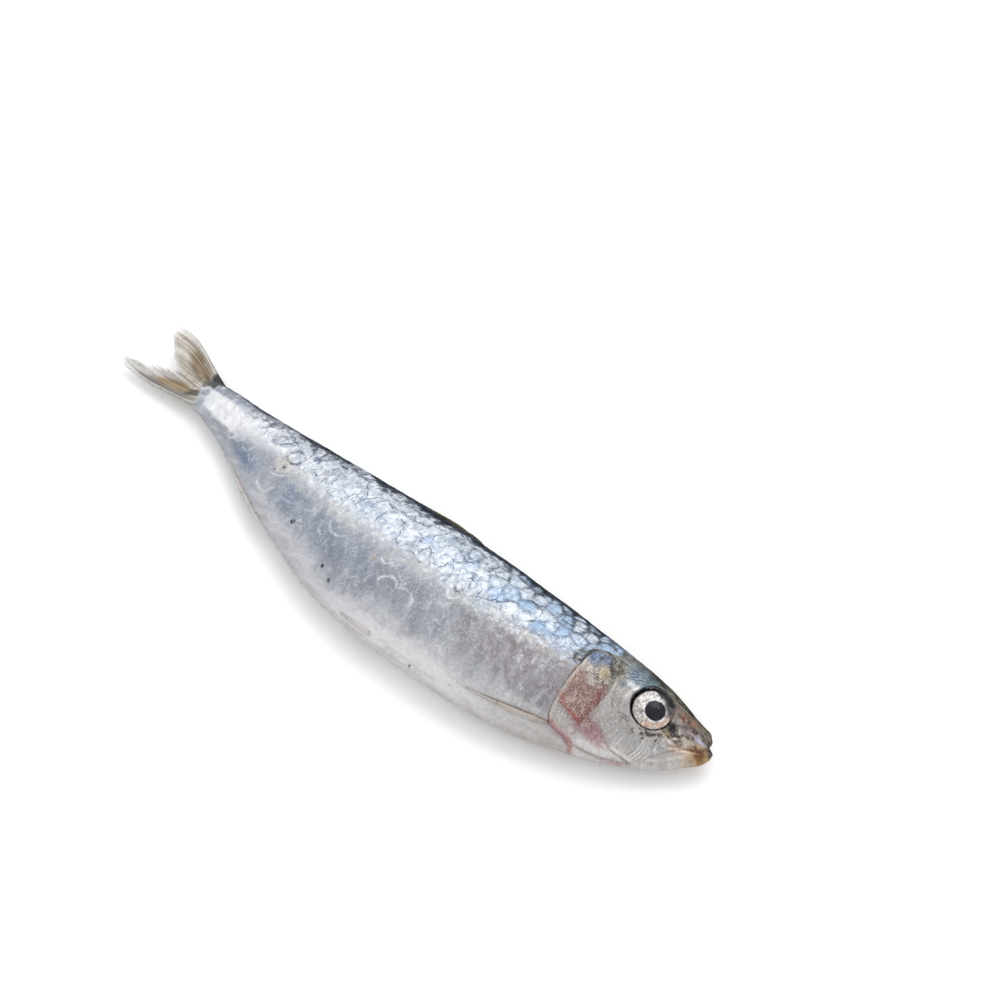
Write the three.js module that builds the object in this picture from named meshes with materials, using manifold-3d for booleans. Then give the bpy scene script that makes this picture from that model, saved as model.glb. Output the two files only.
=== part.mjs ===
// A small fresh sardine lying on its left flank: a deep, flat-sided body with a keeled belly, a stepped gill
// cover and a narrow mouth slit, two large eyes, a forked tail fin, and the other fins folded close.
// Millimetres, +Z up. The head points along +X, the back along +Y, and the right flank looks up.
import * as THREE from "three";
import { mergeVertices } from "three/addons/utils/BufferGeometryUtils.js";
import Module from "manifold-3d";

const wasm = await Module();
wasm.setup();

// Driving dimensions
const bodyLength = 126; // from the snout to the root of the tail fin
const bodyDepth = 29.4; // from the back to the belly keel at the deepest place
const bodyThickness = 15;
const headLength = 26.5; // from the snout to the rear edge of the gill cover
const lean = THREE.MathUtils.degToRad(6); // the belly lies lower than the back
const gap = 0.3; // clearance between two pieces that touch

// The body's stations, from the snout to the root of the tail fin. along is a share of the body length. back
// and belly are heights over the line from the snout to the tail, as shares of the depth. half is the half
// thickness and lift the height of the middle plane above the ground, as shares of the thickness.
const stations = [
  { along: 0.0, back: 0.07, belly: -0.095, half: 0.05, lift: 0.28 },
  { along: 0.04, back: 0.09, belly: -0.33, half: 0.17, lift: 0.32 },
  { along: 0.09, back: 0.13, belly: -0.48, half: 0.28, lift: 0.36 },
  { along: 0.15, back: 0.155, belly: -0.595, half: 0.355, lift: 0.4 },
  { along: 0.22, back: 0.165, belly: -0.705, half: 0.425, lift: 0.435 },
  { along: 0.32, back: 0.175, belly: -0.79, half: 0.48, lift: 0.47 },
  { along: 0.45, back: 0.185, belly: -0.815, half: 0.5, lift: 0.48 },
  { along: 0.58, back: 0.175, belly: -0.785, half: 0.465, lift: 0.48 },
  { along: 0.7, back: 0.155, belly: -0.645, half: 0.395, lift: 0.43 },
  { along: 0.8, back: 0.14, belly: -0.475, half: 0.305, lift: 0.37 },
  { along: 0.9, back: 0.135, belly: -0.27, half: 0.21, lift: 0.3 },
  { along: 0.98, back: 0.135, belly: -0.145, half: 0.12, lift: 0.255 },
  { along: 1.03, back: 0.12, belly: -0.12, half: 0.03, lift: 0.225 },
  { along: 1.18, back: 0.12, belly: -0.12, half: 0.03, lift: 0.125 },
];
const fullness = 0.06; // how far the widest place lies above the middle, as a share of the depth there
const keelSharpness = 1.25; // 1 would be a round belly
const snoutRound = 1.8; // length over which the snout closes to its tip
const rootRound = 4; // length over which the flesh closes between the rays of the tail fin
const bodyEnd = 1.025 * bodyLength; // the flesh reaches back to here
const pointsRound = 38; // round one section
const headStep = 0.85; // between sections of the head
const trunkStep = 3.6; // between sections behind it

// The gill cover's rear edge: down is a share of the depth from the back, at a share of the head length.
const gillEdge = [
  { down: 0.14, at: 0.86 },
  { down: 0.21, at: 0.97 },
  { down: 0.36, at: 1.0 },
  { down: 0.67, at: 0.985 },
  { down: 0.86, at: 0.93 },
  { down: 0.93, at: 0.78 },
  { down: 1.0, at: 0.73 },
];
const gillStep = 0.6; // how far the rear edge stands proud of the flank
const cheekGroove = { depth: 0.3, width: 1.1 };

// The eyes: the place of the right one, its radius and its half thickness
const eye = { along: 11.9, height: -2.7, radius: 4.1, bulge: 1.85, stand: 2.9, turn: 11 };

// The mouth slit between the jaws
const mouth = { start: -1.0, end: 3.4, startHeight: -1.1, endHeight: -3.9, opening: 0.7 };

// The tail fin. Heights are over the line from the snout to the tail, reaches are behind the tail's root.
const tail = {
  rays: 7, // in each lobe
  rootStart: -2.5,
  forkReach: 8.7,
  forkHeight: 1.0,
  upper: { rootHeight: 4.0, tipReach: 17.5, tipHeight: 9.6, bow: 1.7 },
  lower: { rootHeight: -3.0, tipReach: 22.2, tipHeight: -3.2, bow: -1.3 },
  rootThickness: 1.5,
  edgeThickness: 0.5,
  notch: 1.6, // depth of the ragged edge between two ray tips
};

// Folded fins along the back and the belly line, and folded fins that lie on the flanks. pushed is the share
// of the depth by which the ground pushes the left flank's fin towards the keel.
const backFin = { start: 55, end: 80, height: 2.4, fade: 0.9, thickness: 0.9, onBack: true };
const analFin = { start: 94, end: 118, height: 1.7, fade: 0.45, thickness: 0.8, onBack: false };
const chestFin = {
  start: 24.6,
  end: 42,
  startDown: 0.87,
  endDown: 0.905,
  width: 1.7,
  thickness: 0.6,
  pushed: 0.03,
};
const bellyFin = {
  start: 61,
  end: 70.5,
  startDown: 0.955,
  endDown: 0.965,
  width: 1.5,
  thickness: 0.5,
  pushed: 0,
};

const materials = {
  skin: { color: "#a9b2bf", roughness: 0.32, metalness: 0.55 },
  eye: { color: "#c9c4bd", roughness: 0.12, metalness: 0.2 },
  fin: { color: "#a99c86", roughness: 0.5, metalness: 0.1 },
};

// A smooth curve through a list of rows: the value of key where the row's by equals place.
function curve(rows, by, key, place) {
  const last = rows.length - 1;
  let i = 0;
  while (i < last - 1 && rows[i + 1][by] < place) i += 1;
  const slope = (k) => {
    const a = rows[Math.max(k - 1, 0)];
    const b = rows[Math.min(k + 1, last)];
    return (b[key] - a[key]) / (b[by] - a[by]);
  };
  const width = rows[i + 1][by] - rows[i][by];
  const t = THREE.MathUtils.clamp((place - rows[i][by]) / width, 0, 1);
  const rise = t * t * (3 - 2 * t);
  const leave = t * (1 - t) * (1 - t) * width * slope(i);
  const arrive = t * t * (1 - t) * width * slope(i + 1);
  return rows[i][key] + (rows[i + 1][key] - rows[i][key]) * rise + leave - arrive;
}

// The body's measures at a distance behind the snout
function profile(x) {
  const along = x / bodyLength;
  return {
    back: bodyDepth * curve(stations, "along", "back", along),
    belly: bodyDepth * curve(stations, "along", "belly", along),
    half: bodyThickness * curve(stations, "along", "half", along),
    lift: bodyThickness * curve(stations, "along", "lift", along),
  };
}

// From the fish's own measures, behind the snout, over the line from snout to tail and out to the right, to
// a point in space. Nothing reaches below the ground: the soft flank lies flat on it.
function place(x, height, side) {
  const y = height * Math.cos(lean) - side * Math.sin(lean);
  const z = height * Math.sin(lean) + side * Math.cos(lean) + profile(x).lift;
  return new THREE.Vector3(bodyLength / 2 - x, y, Math.max(z, 0));
}

// How far a rounded end has opened: 0 at the tip, 1 from a share of 1 on
function roundOff(share) {
  return share < 1 ? Math.sqrt(Math.max(1 - (1 - share) ** 2, 0)) : 1;
}

// A point of one section as height and side. turn goes from 0 at the back over the right flank to the
// belly keel at 0.5 and on over the left flank.
function sectionPoint(x, turn) {
  const { back, belly, half } = profile(x);
  const middle = (back + belly) / 2 + fullness * (back - belly);
  const up = Math.cos(turn * 2 * Math.PI);
  const out = Math.sin(turn * 2 * Math.PI);
  const reach = up > 0 ? back - middle : middle - belly;
  const sharpness = up > 0 ? 1 : keelSharpness;
  const close = roundOff(x / snoutRound) * roundOff((bodyEnd - x) / rootRound);
  const height = middle * (1 - close) * 0.3 + (middle + reach * up) * close;
  return new THREE.Vector2(height, close * half * Math.sign(out) * Math.abs(out) ** sharpness);
}

// The direction out of the skin within one section
function sectionNormal(x, turn) {
  const small = 0.004;
  const run = sectionPoint(x, turn + small).sub(sectionPoint(x, turn - small));
  return new THREE.Vector2(-run.y, run.x).negate().normalize();
}

// The share of the depth by which a height lies below the back
function shareDown(x, height) {
  const { back, belly } = profile(x);
  return (back - height) / (back - belly);
}

function gillRelief(x, down) {
  const edge = headLength * curve(gillEdge, "down", "at", down);
  const rise = THREE.MathUtils.smoothstep(x, edge - headLength * 0.5, edge - 1.5);
  const drop = 1 - THREE.MathUtils.smoothstep(x, edge, edge + headStep);
  const top = THREE.MathUtils.smoothstep(down, 0.11, 0.19);
  return gillStep * rise * drop * top;
}

// The bent line between the cheek and the gill cover
function cheekRelief(x, down) {
  const line = headLength * (0.84 - 0.5 * (down - 0.22) + 0.75 * Math.max(down - 0.6, 0));
  const across = (x - line) / cheekGroove.width;
  const above = THREE.MathUtils.smoothstep(down, 0.16, 0.26);
  const below = 1 - THREE.MathUtils.smoothstep(down, 0.86, 0.95);
  return -cheekGroove.depth * above * below * Math.exp(-across * across);
}

// A point of the skin in space, moved out by extra
function skinPoint(x, turn, extra) {
  const flat = sectionPoint(x, turn);
  const down = shareDown(Math.max(x, snoutRound), flat.x);
  const relief = gillRelief(x, down) + cheekRelief(x, down);
  flat.addScaledVector(sectionNormal(x, turn), relief + extra);
  const stretch = extra * ((2 * x) / bodyEnd - 1);
  return place(x + stretch, flat.x, flat.y);
}

// Steps from start to end, both included, no longer than step
function spread(start, end, step) {
  const count = Math.ceil((end - start) / step);
  return Array.from({ length: count + 1 }, (_, i) => start + ((end - start) * i) / count);
}

function solidFrom(positions, triangles) {
  const geometry = new THREE.BufferGeometry();
  geometry.setAttribute("position", new THREE.Float32BufferAttribute(positions, 3));
  geometry.setIndex(triangles);
  return toSolid(geometry);
}

function toSolid(geometry) {
  geometry.deleteAttribute("normal");
  geometry.deleteAttribute("uv");
  const merged = mergeVertices(geometry, 1e-4);
  const vertProperties = merged.attributes.position.array;
  const triVerts = new Uint32Array(merged.index.array);
  return new wasm.Manifold(new wasm.Mesh({ numProp: 3, vertProperties, triVerts }));
}

// A closed body from rings of equally many points, with a pointed or flat end at both sides
function loft(rings) {
  const size = rings[0].length;
  const centre = (ring) => ring.reduce((sum, p) => sum.add(p), new THREE.Vector3()).divideScalar(size);
  const points = [...rings.flat(), centre(rings[0]), centre(rings[rings.length - 1])];
  const first = points.length - 2;
  const last = points.length - 1;
  const triangles = [];
  for (let j = 0; j < size; j += 1) {
    const next = (j + 1) % size;
    for (let i = 0; i < rings.length - 1; i += 1) {
      const a = i * size;
      const b = a + size;
      triangles.push(a + j, b + j, a + next, a + next, b + j, b + next);
    }
    const end = (rings.length - 1) * size;
    triangles.push(first, j, next, last, end + next, end + j);
  }
  return solidFrom(points.flatMap((p) => p.toArray()), triangles);
}

// A closed thin body from two like grids of points, the upper one and the lower one
function sheet(upper, lower) {
  const rows = upper.length;
  const columns = upper[0].length;
  const under = rows * columns;
  const at = (i, j) => i * columns + j;
  const triangles = [];
  for (let i = 0; i < rows - 1; i += 1) {
    for (let j = 0; j < columns - 1; j += 1) {
      const [a, b, c, d] = [at(i, j), at(i + 1, j), at(i + 1, j + 1), at(i, j + 1)];
      triangles.push(a, b, c, a, c, d, under + a, under + c, under + b, under + a, under + d, under + c);
    }
  }
  const side = (a, b) => triangles.push(a, under + a, under + b, a, under + b, b);
  for (let i = 0; i < rows - 1; i += 1) {
    side(at(i, 0), at(i + 1, 0));
    side(at(i + 1, columns - 1), at(i, columns - 1));
  }
  for (let j = 0; j < columns - 1; j += 1) {
    side(at(0, j + 1), at(0, j));
    side(at(rows - 1, j), at(rows - 1, j + 1));
  }
  const points = [...upper.flat(), ...lower.flat()];
  return solidFrom(points.flatMap((p) => p.toArray()), triangles);
}

// The trunk and head without openings, grown by extra
function bodyCore(extra) {
  const along = [
    ...spread(0.02, snoutRound, 0.45),
    ...spread(snoutRound, headLength + 2, headStep).slice(1),
    ...spread(headLength + 2, bodyEnd - rootRound, trunkStep).slice(1),
    ...spread(bodyEnd - rootRound, bodyEnd - 0.02, 1).slice(1),
  ];
  const turns = Array.from({ length: pointsRound }, (_, j) => j / pointsRound);
  return loft(along.map((x) => turns.map((turn) => skinPoint(x, turn, extra))));
}

// One eye, or with extra the socket round it. side is 1 for the right eye and -1 for the left one.
function eyeball(side, extra) {
  const ball = new THREE.SphereGeometry(1, 24, 12);
  ball.rotateX(Math.PI / 2);
  ball.scale(eye.radius + extra, eye.radius + extra, eye.bulge + extra);
  ball.rotateY(THREE.MathUtils.degToRad(eye.turn * side));
  ball.rotateX(lean);
  const centre = place(eye.along, eye.height, eye.stand * side);
  ball.translate(centre.x, centre.y, centre.z);
  return toSolid(ball);
}

// The wedge of air between the jaws
function mouthSlit() {
  const wide = bodyThickness / 2;
  const edge = (x, height, open) => [
    place(x, height + open, wide),
    place(x, height - open, wide),
    place(x, height - open, -wide),
    place(x, height + open, -wide),
  ];
  const front = edge(mouth.start, mouth.startHeight, mouth.opening / 2);
  const rear = edge(mouth.end, mouth.endHeight, 0.05);
  return loft([front, rear]);
}

function bodySolid() {
  return bodyCore(0)
    .subtract(eyeball(1, gap))
    .subtract(eyeball(-1, gap))
    .subtract(mouthSlit());
}

// One lobe of the tail fin: rays that fan out from the root to a ragged rear edge
function tailLobe(lobe) {
  const across = spread(0, 1, 1 / (2 * tail.rays));
  const outward = spread(0, 1, 1 / 8);
  const grids = { upper: [], lower: [] };
  const flip = Math.sign(lobe.rootHeight);
  for (const share of across) {
    const rayTip = Math.round(share * 2 * tail.rays) % 2 === 0;
    const rear = share ** 1.4;
    const reach = lobe.tipReach + (tail.forkReach - lobe.tipReach) * rear - (rayTip ? 0 : tail.notch);
    const tipHeight = lobe.tipHeight + (tail.forkHeight - lobe.tipHeight) * share;
    const rootHeight = lobe.rootHeight * (1 - share) - 0.2 * flip * share;
    const line = outward.map((t) => {
      const x = bodyLength + tail.rootStart + (reach - tail.rootStart) * t;
      const bow = lobe.bow * Math.sin(Math.PI * t ** 1.6) * (1 - share);
      const height = rootHeight + (tipHeight - rootHeight) * t + bow;
      const thin = tail.rootThickness + (tail.edgeThickness - tail.rootThickness) * Math.sqrt(t);
      const half = (thin / 2) * (rayTip ? 1 : 0.72);
      return [place(x, height, half), place(x, height, -half)];
    });
    grids.upper.push(line.map((pair) => pair[0]));
    grids.lower.push(line.map((pair) => pair[1]));
  }
  if (flip > 0) {
    grids.upper.reverse();
    grids.lower.reverse();
  }
  return sheet(grids.upper, grids.lower);
}

function tailFinSolid() {
  return tailLobe(tail.upper).add(tailLobe(tail.lower));
}

// A fin folded into a low ridge along the back or the belly line
function ridgeFinSolid(fin) {
  const steps = spread(fin.start, fin.end, 2);
  const rings = steps.map((x) => {
    const t = (x - fin.start) / (fin.end - fin.start);
    const tall = fin.height * THREE.MathUtils.smoothstep(t, -0.04, 0.16) * (1.02 - t) ** fin.fade;
    const half = (fin.thickness / 2) * (1 - 0.4 * t);
    const { back, belly } = profile(x);
    const base = fin.onBack ? back - 1.2 : belly + 1.2;
    const top = fin.onBack ? back + tall : belly - tall;
    const waist = (base + 2 * top) / 3;
    const corners = [
      [base, half],
      [waist, half],
      [top, 0],
      [waist, -half],
      [base, -half],
    ];
    const ring = corners.map(([height, side]) => place(x, height, side));
    return fin.onBack ? ring.reverse() : ring;
  });
  return loft(rings);
}

// A narrow pointed fin that lies on a flank, just clear of the skin
function flankFinSolid(fin, side) {
  const steps = spread(0, 1, 1 / 9);
  const columns = [-1, 0, 1];
  const grid = (out) =>
    steps.map((t) => {
      const x = fin.start + (fin.end - fin.start) * t;
      const { back, belly } = profile(x);
      const middle = fin.startDown + (fin.endDown - fin.startDown) * t + (side < 0 ? fin.pushed : 0);
      const width = fin.width * (0.35 + 0.65 * Math.sin(Math.PI * t ** 0.7)) * (1 - 0.8 * t * t);
      return columns.map((c) => {
        const down = middle + ((c * width) / 2 / (back - belly)) * 0.8;
        const turn = turnAt(x, down);
        const ridge = out ? fin.thickness * (1 - 0.35 * c * c) : 0;
        return skinPoint(x, side > 0 ? turn : 1 - turn, gap + ridge);
      });
    });
  const upper = grid(true);
  const lower = grid(false);
  return side > 0 ? sheet(upper, lower) : sheet(lower, upper);
}

// The turn on the right flank where the skin lies a share of the depth below the back
function turnAt(x, down) {
  const { back, belly } = profile(x);
  const height = back - down * (back - belly);
  const middle = (back + belly) / 2 + fullness * (back - belly);
  const reach = height > middle ? back - middle : middle - belly;
  return Math.acos(THREE.MathUtils.clamp((height - middle) / reach, -1, 1)) / (2 * Math.PI);
}

// Cuts a fin back from the skin and keeps its largest piece
function clearOfBody(solid, grown) {
  const pieces = solid.subtract(grown).decompose();
  return pieces.reduce((a, b) => (a.volume() > b.volume() ? a : b));
}

function addPiece(group, name, solid, look) {
  const data = solid.getMesh();
  const geometry = new THREE.BufferGeometry();
  geometry.setAttribute("position", new THREE.Float32BufferAttribute(data.vertProperties, 3));
  geometry.setIndex(Array.from(data.triVerts));
  geometry.computeVertexNormals();
  const mesh = new THREE.Mesh(geometry, new THREE.MeshStandardMaterial(look));
  mesh.name = name;
  group.add(mesh);
}

const fish = new THREE.Group();
const grownBody = bodyCore(gap);
const finSolids = {
  tail_fin: tailFinSolid(),
  dorsal_fin: ridgeFinSolid(backFin),
  anal_fin: ridgeFinSolid(analFin),
};
addPiece(fish, "body", bodySolid(), materials.skin);
addPiece(fish, "eye_right", eyeball(1, 0), materials.eye);
addPiece(fish, "eye_left", eyeball(-1, 0), materials.eye);
for (const [name, solid] of Object.entries(finSolids)) {
  addPiece(fish, name, clearOfBody(solid, grownBody), materials.fin);
}
for (const [word, side] of [["right", 1], ["left", -1]]) {
  addPiece(fish, `pectoral_fin_${word}`, flankFinSolid(chestFin, side), materials.fin);
  addPiece(fish, `pelvic_fin_${word}`, flankFinSolid(bellyFin, side), materials.fin);
}

// The origin is the middle of the whole fish, on the ground.
const box = new THREE.Box3().setFromObject(fish);
fish.position.set(-(box.min.x + box.max.x) / 2, -(box.min.y + box.max.y) / 2, -box.min.z);

export default fish;
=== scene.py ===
# A small fresh sardine on its left flank, dressed for a studio picture. Lengths are millimetres of the fish:
# x runs from the snout to the tail, height from the line between snout and tail towards the back, and side
# out to the right flank, which looks up. The frame's metres come in only where a mesh is made.
import math

import bpy
import numpy as np
from mathutils import Matrix, Vector


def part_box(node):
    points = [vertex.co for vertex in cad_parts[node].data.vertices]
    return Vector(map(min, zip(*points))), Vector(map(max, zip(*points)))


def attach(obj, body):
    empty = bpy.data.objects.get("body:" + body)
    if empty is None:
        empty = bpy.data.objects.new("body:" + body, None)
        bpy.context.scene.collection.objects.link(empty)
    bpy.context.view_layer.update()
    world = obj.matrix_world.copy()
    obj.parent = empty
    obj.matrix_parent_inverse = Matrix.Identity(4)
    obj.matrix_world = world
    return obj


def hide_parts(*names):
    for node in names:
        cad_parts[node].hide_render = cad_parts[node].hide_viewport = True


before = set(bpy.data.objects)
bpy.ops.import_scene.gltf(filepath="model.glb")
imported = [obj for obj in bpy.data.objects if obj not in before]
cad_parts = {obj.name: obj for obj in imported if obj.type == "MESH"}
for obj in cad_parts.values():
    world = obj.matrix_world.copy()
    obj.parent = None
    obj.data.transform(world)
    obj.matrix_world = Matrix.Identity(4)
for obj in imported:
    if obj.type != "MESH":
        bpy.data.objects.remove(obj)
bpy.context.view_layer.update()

MM = 0.001

# Driving sizes of the fish, as in the solids
BODY_LENGTH = 126.0
BODY_DEPTH = 29.4
BODY_THICKNESS = 15.0
HEAD_LENGTH = 26.5
LEAN = math.radians(6)
SNOUT_ROUND = 1.8
ROOT_ROUND = 4.0
BODY_END = 1.025 * BODY_LENGTH
FULLNESS = 0.06
KEEL_SHARPNESS = 1.25
SEED = 7

# The body's stations: place along the body, back and belly line in depths, half thickness and height of
# the middle plane in thicknesses
STATIONS = np.array((
    (0.00, 0.070, -0.095, 0.050, 0.280),
    (0.04, 0.090, -0.330, 0.170, 0.320),
    (0.09, 0.130, -0.480, 0.280, 0.360),
    (0.15, 0.155, -0.595, 0.355, 0.400),
    (0.22, 0.165, -0.705, 0.425, 0.435),
    (0.32, 0.175, -0.790, 0.480, 0.470),
    (0.45, 0.185, -0.815, 0.500, 0.480),
    (0.58, 0.175, -0.785, 0.465, 0.480),
    (0.70, 0.155, -0.645, 0.395, 0.430),
    (0.80, 0.140, -0.475, 0.305, 0.370),
    (0.90, 0.135, -0.270, 0.210, 0.300),
    (0.98, 0.135, -0.145, 0.120, 0.255),
    (1.03, 0.120, -0.120, 0.030, 0.225),
    (1.18, 0.120, -0.120, 0.030, 0.125),
))
BACK, BELLY, HALF, LIFT = range(1, 5)

# The gill cover's rear edge: share of the depth below the back, and place in head lengths
GILL_EDGE = np.array((
    (0.14, 0.86), (0.21, 0.97), (0.36, 1.0), (0.67, 0.985), (0.86, 0.93), (0.93, 0.78), (1.0, 0.73),
))
GILL_STEP = 0.6

# The right eye, and the left one mirrored
EYE_ALONG = 11.9
EYE_HEIGHT = -2.7
EYE_STAND = 2.9
EYE_RADIUS = 4.1
EYE_BULGE = 1.85
EYE_TURN = math.radians(11)
SOCKET_RADIUS = 3.85  # of the opening in the skin
BARE_AHEAD, BARE_UP = 0.88, 0.47  # the direction from the eye's middle in which its rim is bare of the lid's painted shade
BARE_BORDER = (0.92, 0.98)


# Numbers

def step(value, low, high):
    """A smooth rise from 0 at low to 1 at high"""
    t = np.clip((value - low) / (high - low), 0, 1)
    return t * t * (3 - 2 * t)


def fall(value, low, high):
    """A smooth fall from 1 at low to 0 at high"""
    return 1 - step(value, low, high)


def hump(value, low, peak_low, peak_high, high):
    """1 between the peaks, falling to 0 at low and high"""
    return step(value, low, peak_low) * fall(value, peak_high, high)


def bell(distance, width):
    return np.exp(-(distance / width) ** 2)


def curve(rows, key, place):
    """A smooth curve through the rows' column key, by their first column"""
    at, values = rows[:, 0], rows[:, key]
    place = np.asarray(place, float)
    slope = np.empty(len(at))
    slope[1:-1] = (values[2:] - values[:-2]) / (at[2:] - at[:-2])
    slope[0] = (values[1] - values[0]) / (at[1] - at[0])
    slope[-1] = (values[-1] - values[-2]) / (at[-1] - at[-2])
    i = np.clip(np.searchsorted(at, place) - 1, 0, len(at) - 2)
    width = at[i + 1] - at[i]
    t = np.clip((place - at[i]) / width, 0, 1)
    rise = values[i] + (values[i + 1] - values[i]) * t * t * (3 - 2 * t)
    return rise + t * (1 - t) ** 2 * width * slope[i] - t * t * (1 - t) * width * slope[i + 1]


def spread(start, end, gap):
    """Even places from start to end, no further apart than gap"""
    return np.linspace(start, end, math.ceil((end - start) / gap) + 1)


def chance(*whole_numbers):
    """A fixed random number between 0 and 1 for whole numbers, which may be arrays"""
    total = sum(n * k for n, k in zip(whole_numbers, (127.1, 311.7, 74.7)))
    return np.abs(np.sin(total + SEED) * 43758.5453) % 1.0


def waves(x, y, size, count=7, seed=0):
    """Soft uneven ground between about -1 and 1, with features of a size in millimetres"""
    total = 0
    for k in range(count):
        angle = 2 * np.pi * chance(k, seed, 1)
        pitch = size * (0.7 + 0.9 * chance(k, seed, 2))
        run = (x * math.cos(angle) + y * math.sin(angle)) / pitch
        total = total + np.sin(2 * np.pi * (run + chance(k, seed, 3)))
    return total / math.sqrt(2 * count)


def clouds(x, y, size, octaves=3, seed=0):
    """Cloudy ground between 0 and 1 with its largest clouds about a size in millimetres apart"""
    total, weight = 0, 0
    for k in range(octaves):
        angle, gap = 2.4 * k + seed, size / 2 ** k
        a = (x * math.cos(angle) + y * math.sin(angle)) / gap
        b = (y * math.cos(angle) - x * math.sin(angle)) / gap
        i, j = np.floor(a), np.floor(b)
        u, v = step(a - i, 0, 1), step(b - j, 0, 1)
        near, far = (
            chance(i, j + n, seed + k) * (1 - u) + chance(i + 1, j + n, seed + k) * u for n in (0, 1)
        )
        total = total + 0.6 ** k * (near * (1 - v) + far * v)
        weight += 0.6 ** k
    return np.clip(0.5 + 1.5 * (total / weight - 0.5), 0, 1)


def cells(a, b, wide, tall, loose, seed=0):
    """Irregular cells in staggered rows, by grid places a and b with a pitch of wide and tall millimetres:
    each point's distance from its cell's edge, its place along its cell, and a tone of each cell's own"""
    own = np.full(a.shape, 1e9)
    own_x, own_y, tone = (np.zeros(a.shape) for _ in range(3))
    around = []
    for row in range(-2, 3):
        j = np.floor(b) + row
        for place in range(-2, 3):
            i = np.floor(a) + place
            dx = (a - i - 0.5 * np.mod(j, 2) - loose * (chance(i, j, seed) - 0.5)) * wide
            dy = (b - j - 0.5 - loose * (chance(i, j, seed + 1) - 0.5)) * tall
            far = np.hypot(dx, dy)
            around.append((dx, dy, far))
            closer = far < own
            own_x, own_y = np.where(closer, dx, own_x), np.where(closer, dy, own_y)
            tone = np.where(closer, chance(i, j, seed + 2), tone)
            own = np.where(closer, far, own)
    gap = np.full(a.shape, 9.0)
    for dx, dy, far in around:
        between = np.hypot(dx - own_x, dy - own_y)
        edge = (far ** 2 - own ** 2) / (2 * np.maximum(between, 0.01))
        gap = np.where(between > 0.01, np.minimum(gap, edge), gap)
    return gap, own_x, tone


# The fish's surface

def profile(x):
    along = np.asarray(x, float) / BODY_LENGTH
    back, belly = (BODY_DEPTH * curve(STATIONS, key, along) for key in (BACK, BELLY))
    half, lift = (BODY_THICKNESS * curve(STATIONS, key, along) for key in (HALF, LIFT))
    return back, belly, half, lift


def round_off(share):
    return np.sqrt(1 - (1 - np.clip(share, 0, 1)) ** 2)


def section(x, turn):
    """Height and side of the plain skin. turn runs from 0 at the back over the right flank to 1."""
    back, belly, half, _ = profile(x)
    depth = back - belly
    middle = (back + belly) / 2 + FULLNESS * depth
    up, out = np.cos(turn * 2 * np.pi), np.sin(turn * 2 * np.pi)
    reach = np.where(up > 0, back - middle, middle - belly)
    sharpness = np.where(up > 0, 1.0, KEEL_SHARPNESS)
    close = round_off(x / SNOUT_ROUND) * round_off((BODY_END - x) / ROOT_ROUND)
    height = middle * (1 - close) * 0.3 + (middle + reach * up) * close
    return height, close * half * np.sign(out) * np.abs(out) ** sharpness


def share_down(turn):
    """How far below the back a turn lies, as a share of the depth"""
    up = np.cos(turn * 2 * np.pi)
    return 0.5 - FULLNESS - np.where(up > 0, 0.5 - FULLNESS, 0.5 + FULLNESS) * up


def turn_at(down):
    """The turn on the right flank at a share of the depth below the back"""
    above = down < 0.5 - FULLNESS
    reach = np.where(above, 0.5 - FULLNESS, 0.5 + FULLNESS)
    return np.arccos(np.clip((0.5 - FULLNESS - down) / reach, -1, 1)) / (2 * np.pi)


def height_at(x, down):
    back, belly, _, _ = profile(x)
    return back - down * (back - belly)


def lying(x, height, side):
    """A place of the fish as it lies, in millimetres, before the ground flattens it"""
    lift = profile(x)[3]
    y = height * math.cos(LEAN) - side * math.sin(LEAN)
    z = height * math.sin(LEAN) + side * math.cos(LEAN) + lift
    return np.stack(np.broadcast_arrays(BODY_LENGTH / 2 - x, y, z), -1)


def frame_shift():
    """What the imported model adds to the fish's own place, found from its right eye"""
    low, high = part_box("eye_right")
    eye = lying(EYE_ALONG, EYE_HEIGHT, EYE_STAND)
    return np.array(((low.x + high.x) / 2 / MM - eye[0], (low.y + high.y) / 2 / MM - eye[1], 0.0))


SHIFT = frame_shift()


def in_frame(points):
    """The frame's metres for points as they lie, pressed flat by the ground"""
    moved = points + SHIFT
    moved[..., 2] = np.maximum(moved[..., 2], 0)
    return moved * MM


def skin_base(x, turn):
    return lying(x, *section(x, turn))


def unit(vectors):
    return vectors / np.maximum(np.linalg.norm(vectors, axis=-1, keepdims=True), 1e-9)


def skin_normal(x, turn):
    dx, dt = 0.05, 0.002
    near = np.clip(x, 0.3, BODY_END - 0.3)
    along = skin_base(near + dx, turn) - skin_base(near - dx, turn)
    around = skin_base(near, turn + dt) - skin_base(near, turn - dt)
    return unit(np.cross(along, around))


def skin_at(x, turn, out):
    """Points over the plain skin, by out"""
    return skin_base(x, turn) + skin_normal(x, turn) * np.asarray(out, float)[..., None]


# The skin's relief

SKIN_RIGHT = 140  # columns on the flank that looks up
SKIN_LEFT = 52
END_GAP = 0.02  # between the first or last row and the end of the body
EDGE = 25.5  # the gill cover's edge on the nominal rows
EDGE_REACH = (14.0, 10.0)  # how far before and behind it the rows still follow its shape

# Rows round the gill cover's edge: distance behind the edge, height in gill steps, and how much of the gap's
# painted colour they get: painted shade above, the gill's red low down.
# They roll over the rim, go in under the cover and come out again on the shoulder.
FOLD = np.array((
    (-0.45, 1.0, 0), (-0.2, 1.0, 0), (-0.05, 0.92, 0), (0.02, 0.7, 0.2), (0.0, 0.4, 0.7), (-0.1, 0.1, 1),
    (-0.2, -0.15, 1), (-0.08, -0.3, 1), (0.12, -0.32, 0.8), (0.45, -0.25, 0.1), (0.9, -0.12, 0),
))
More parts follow.
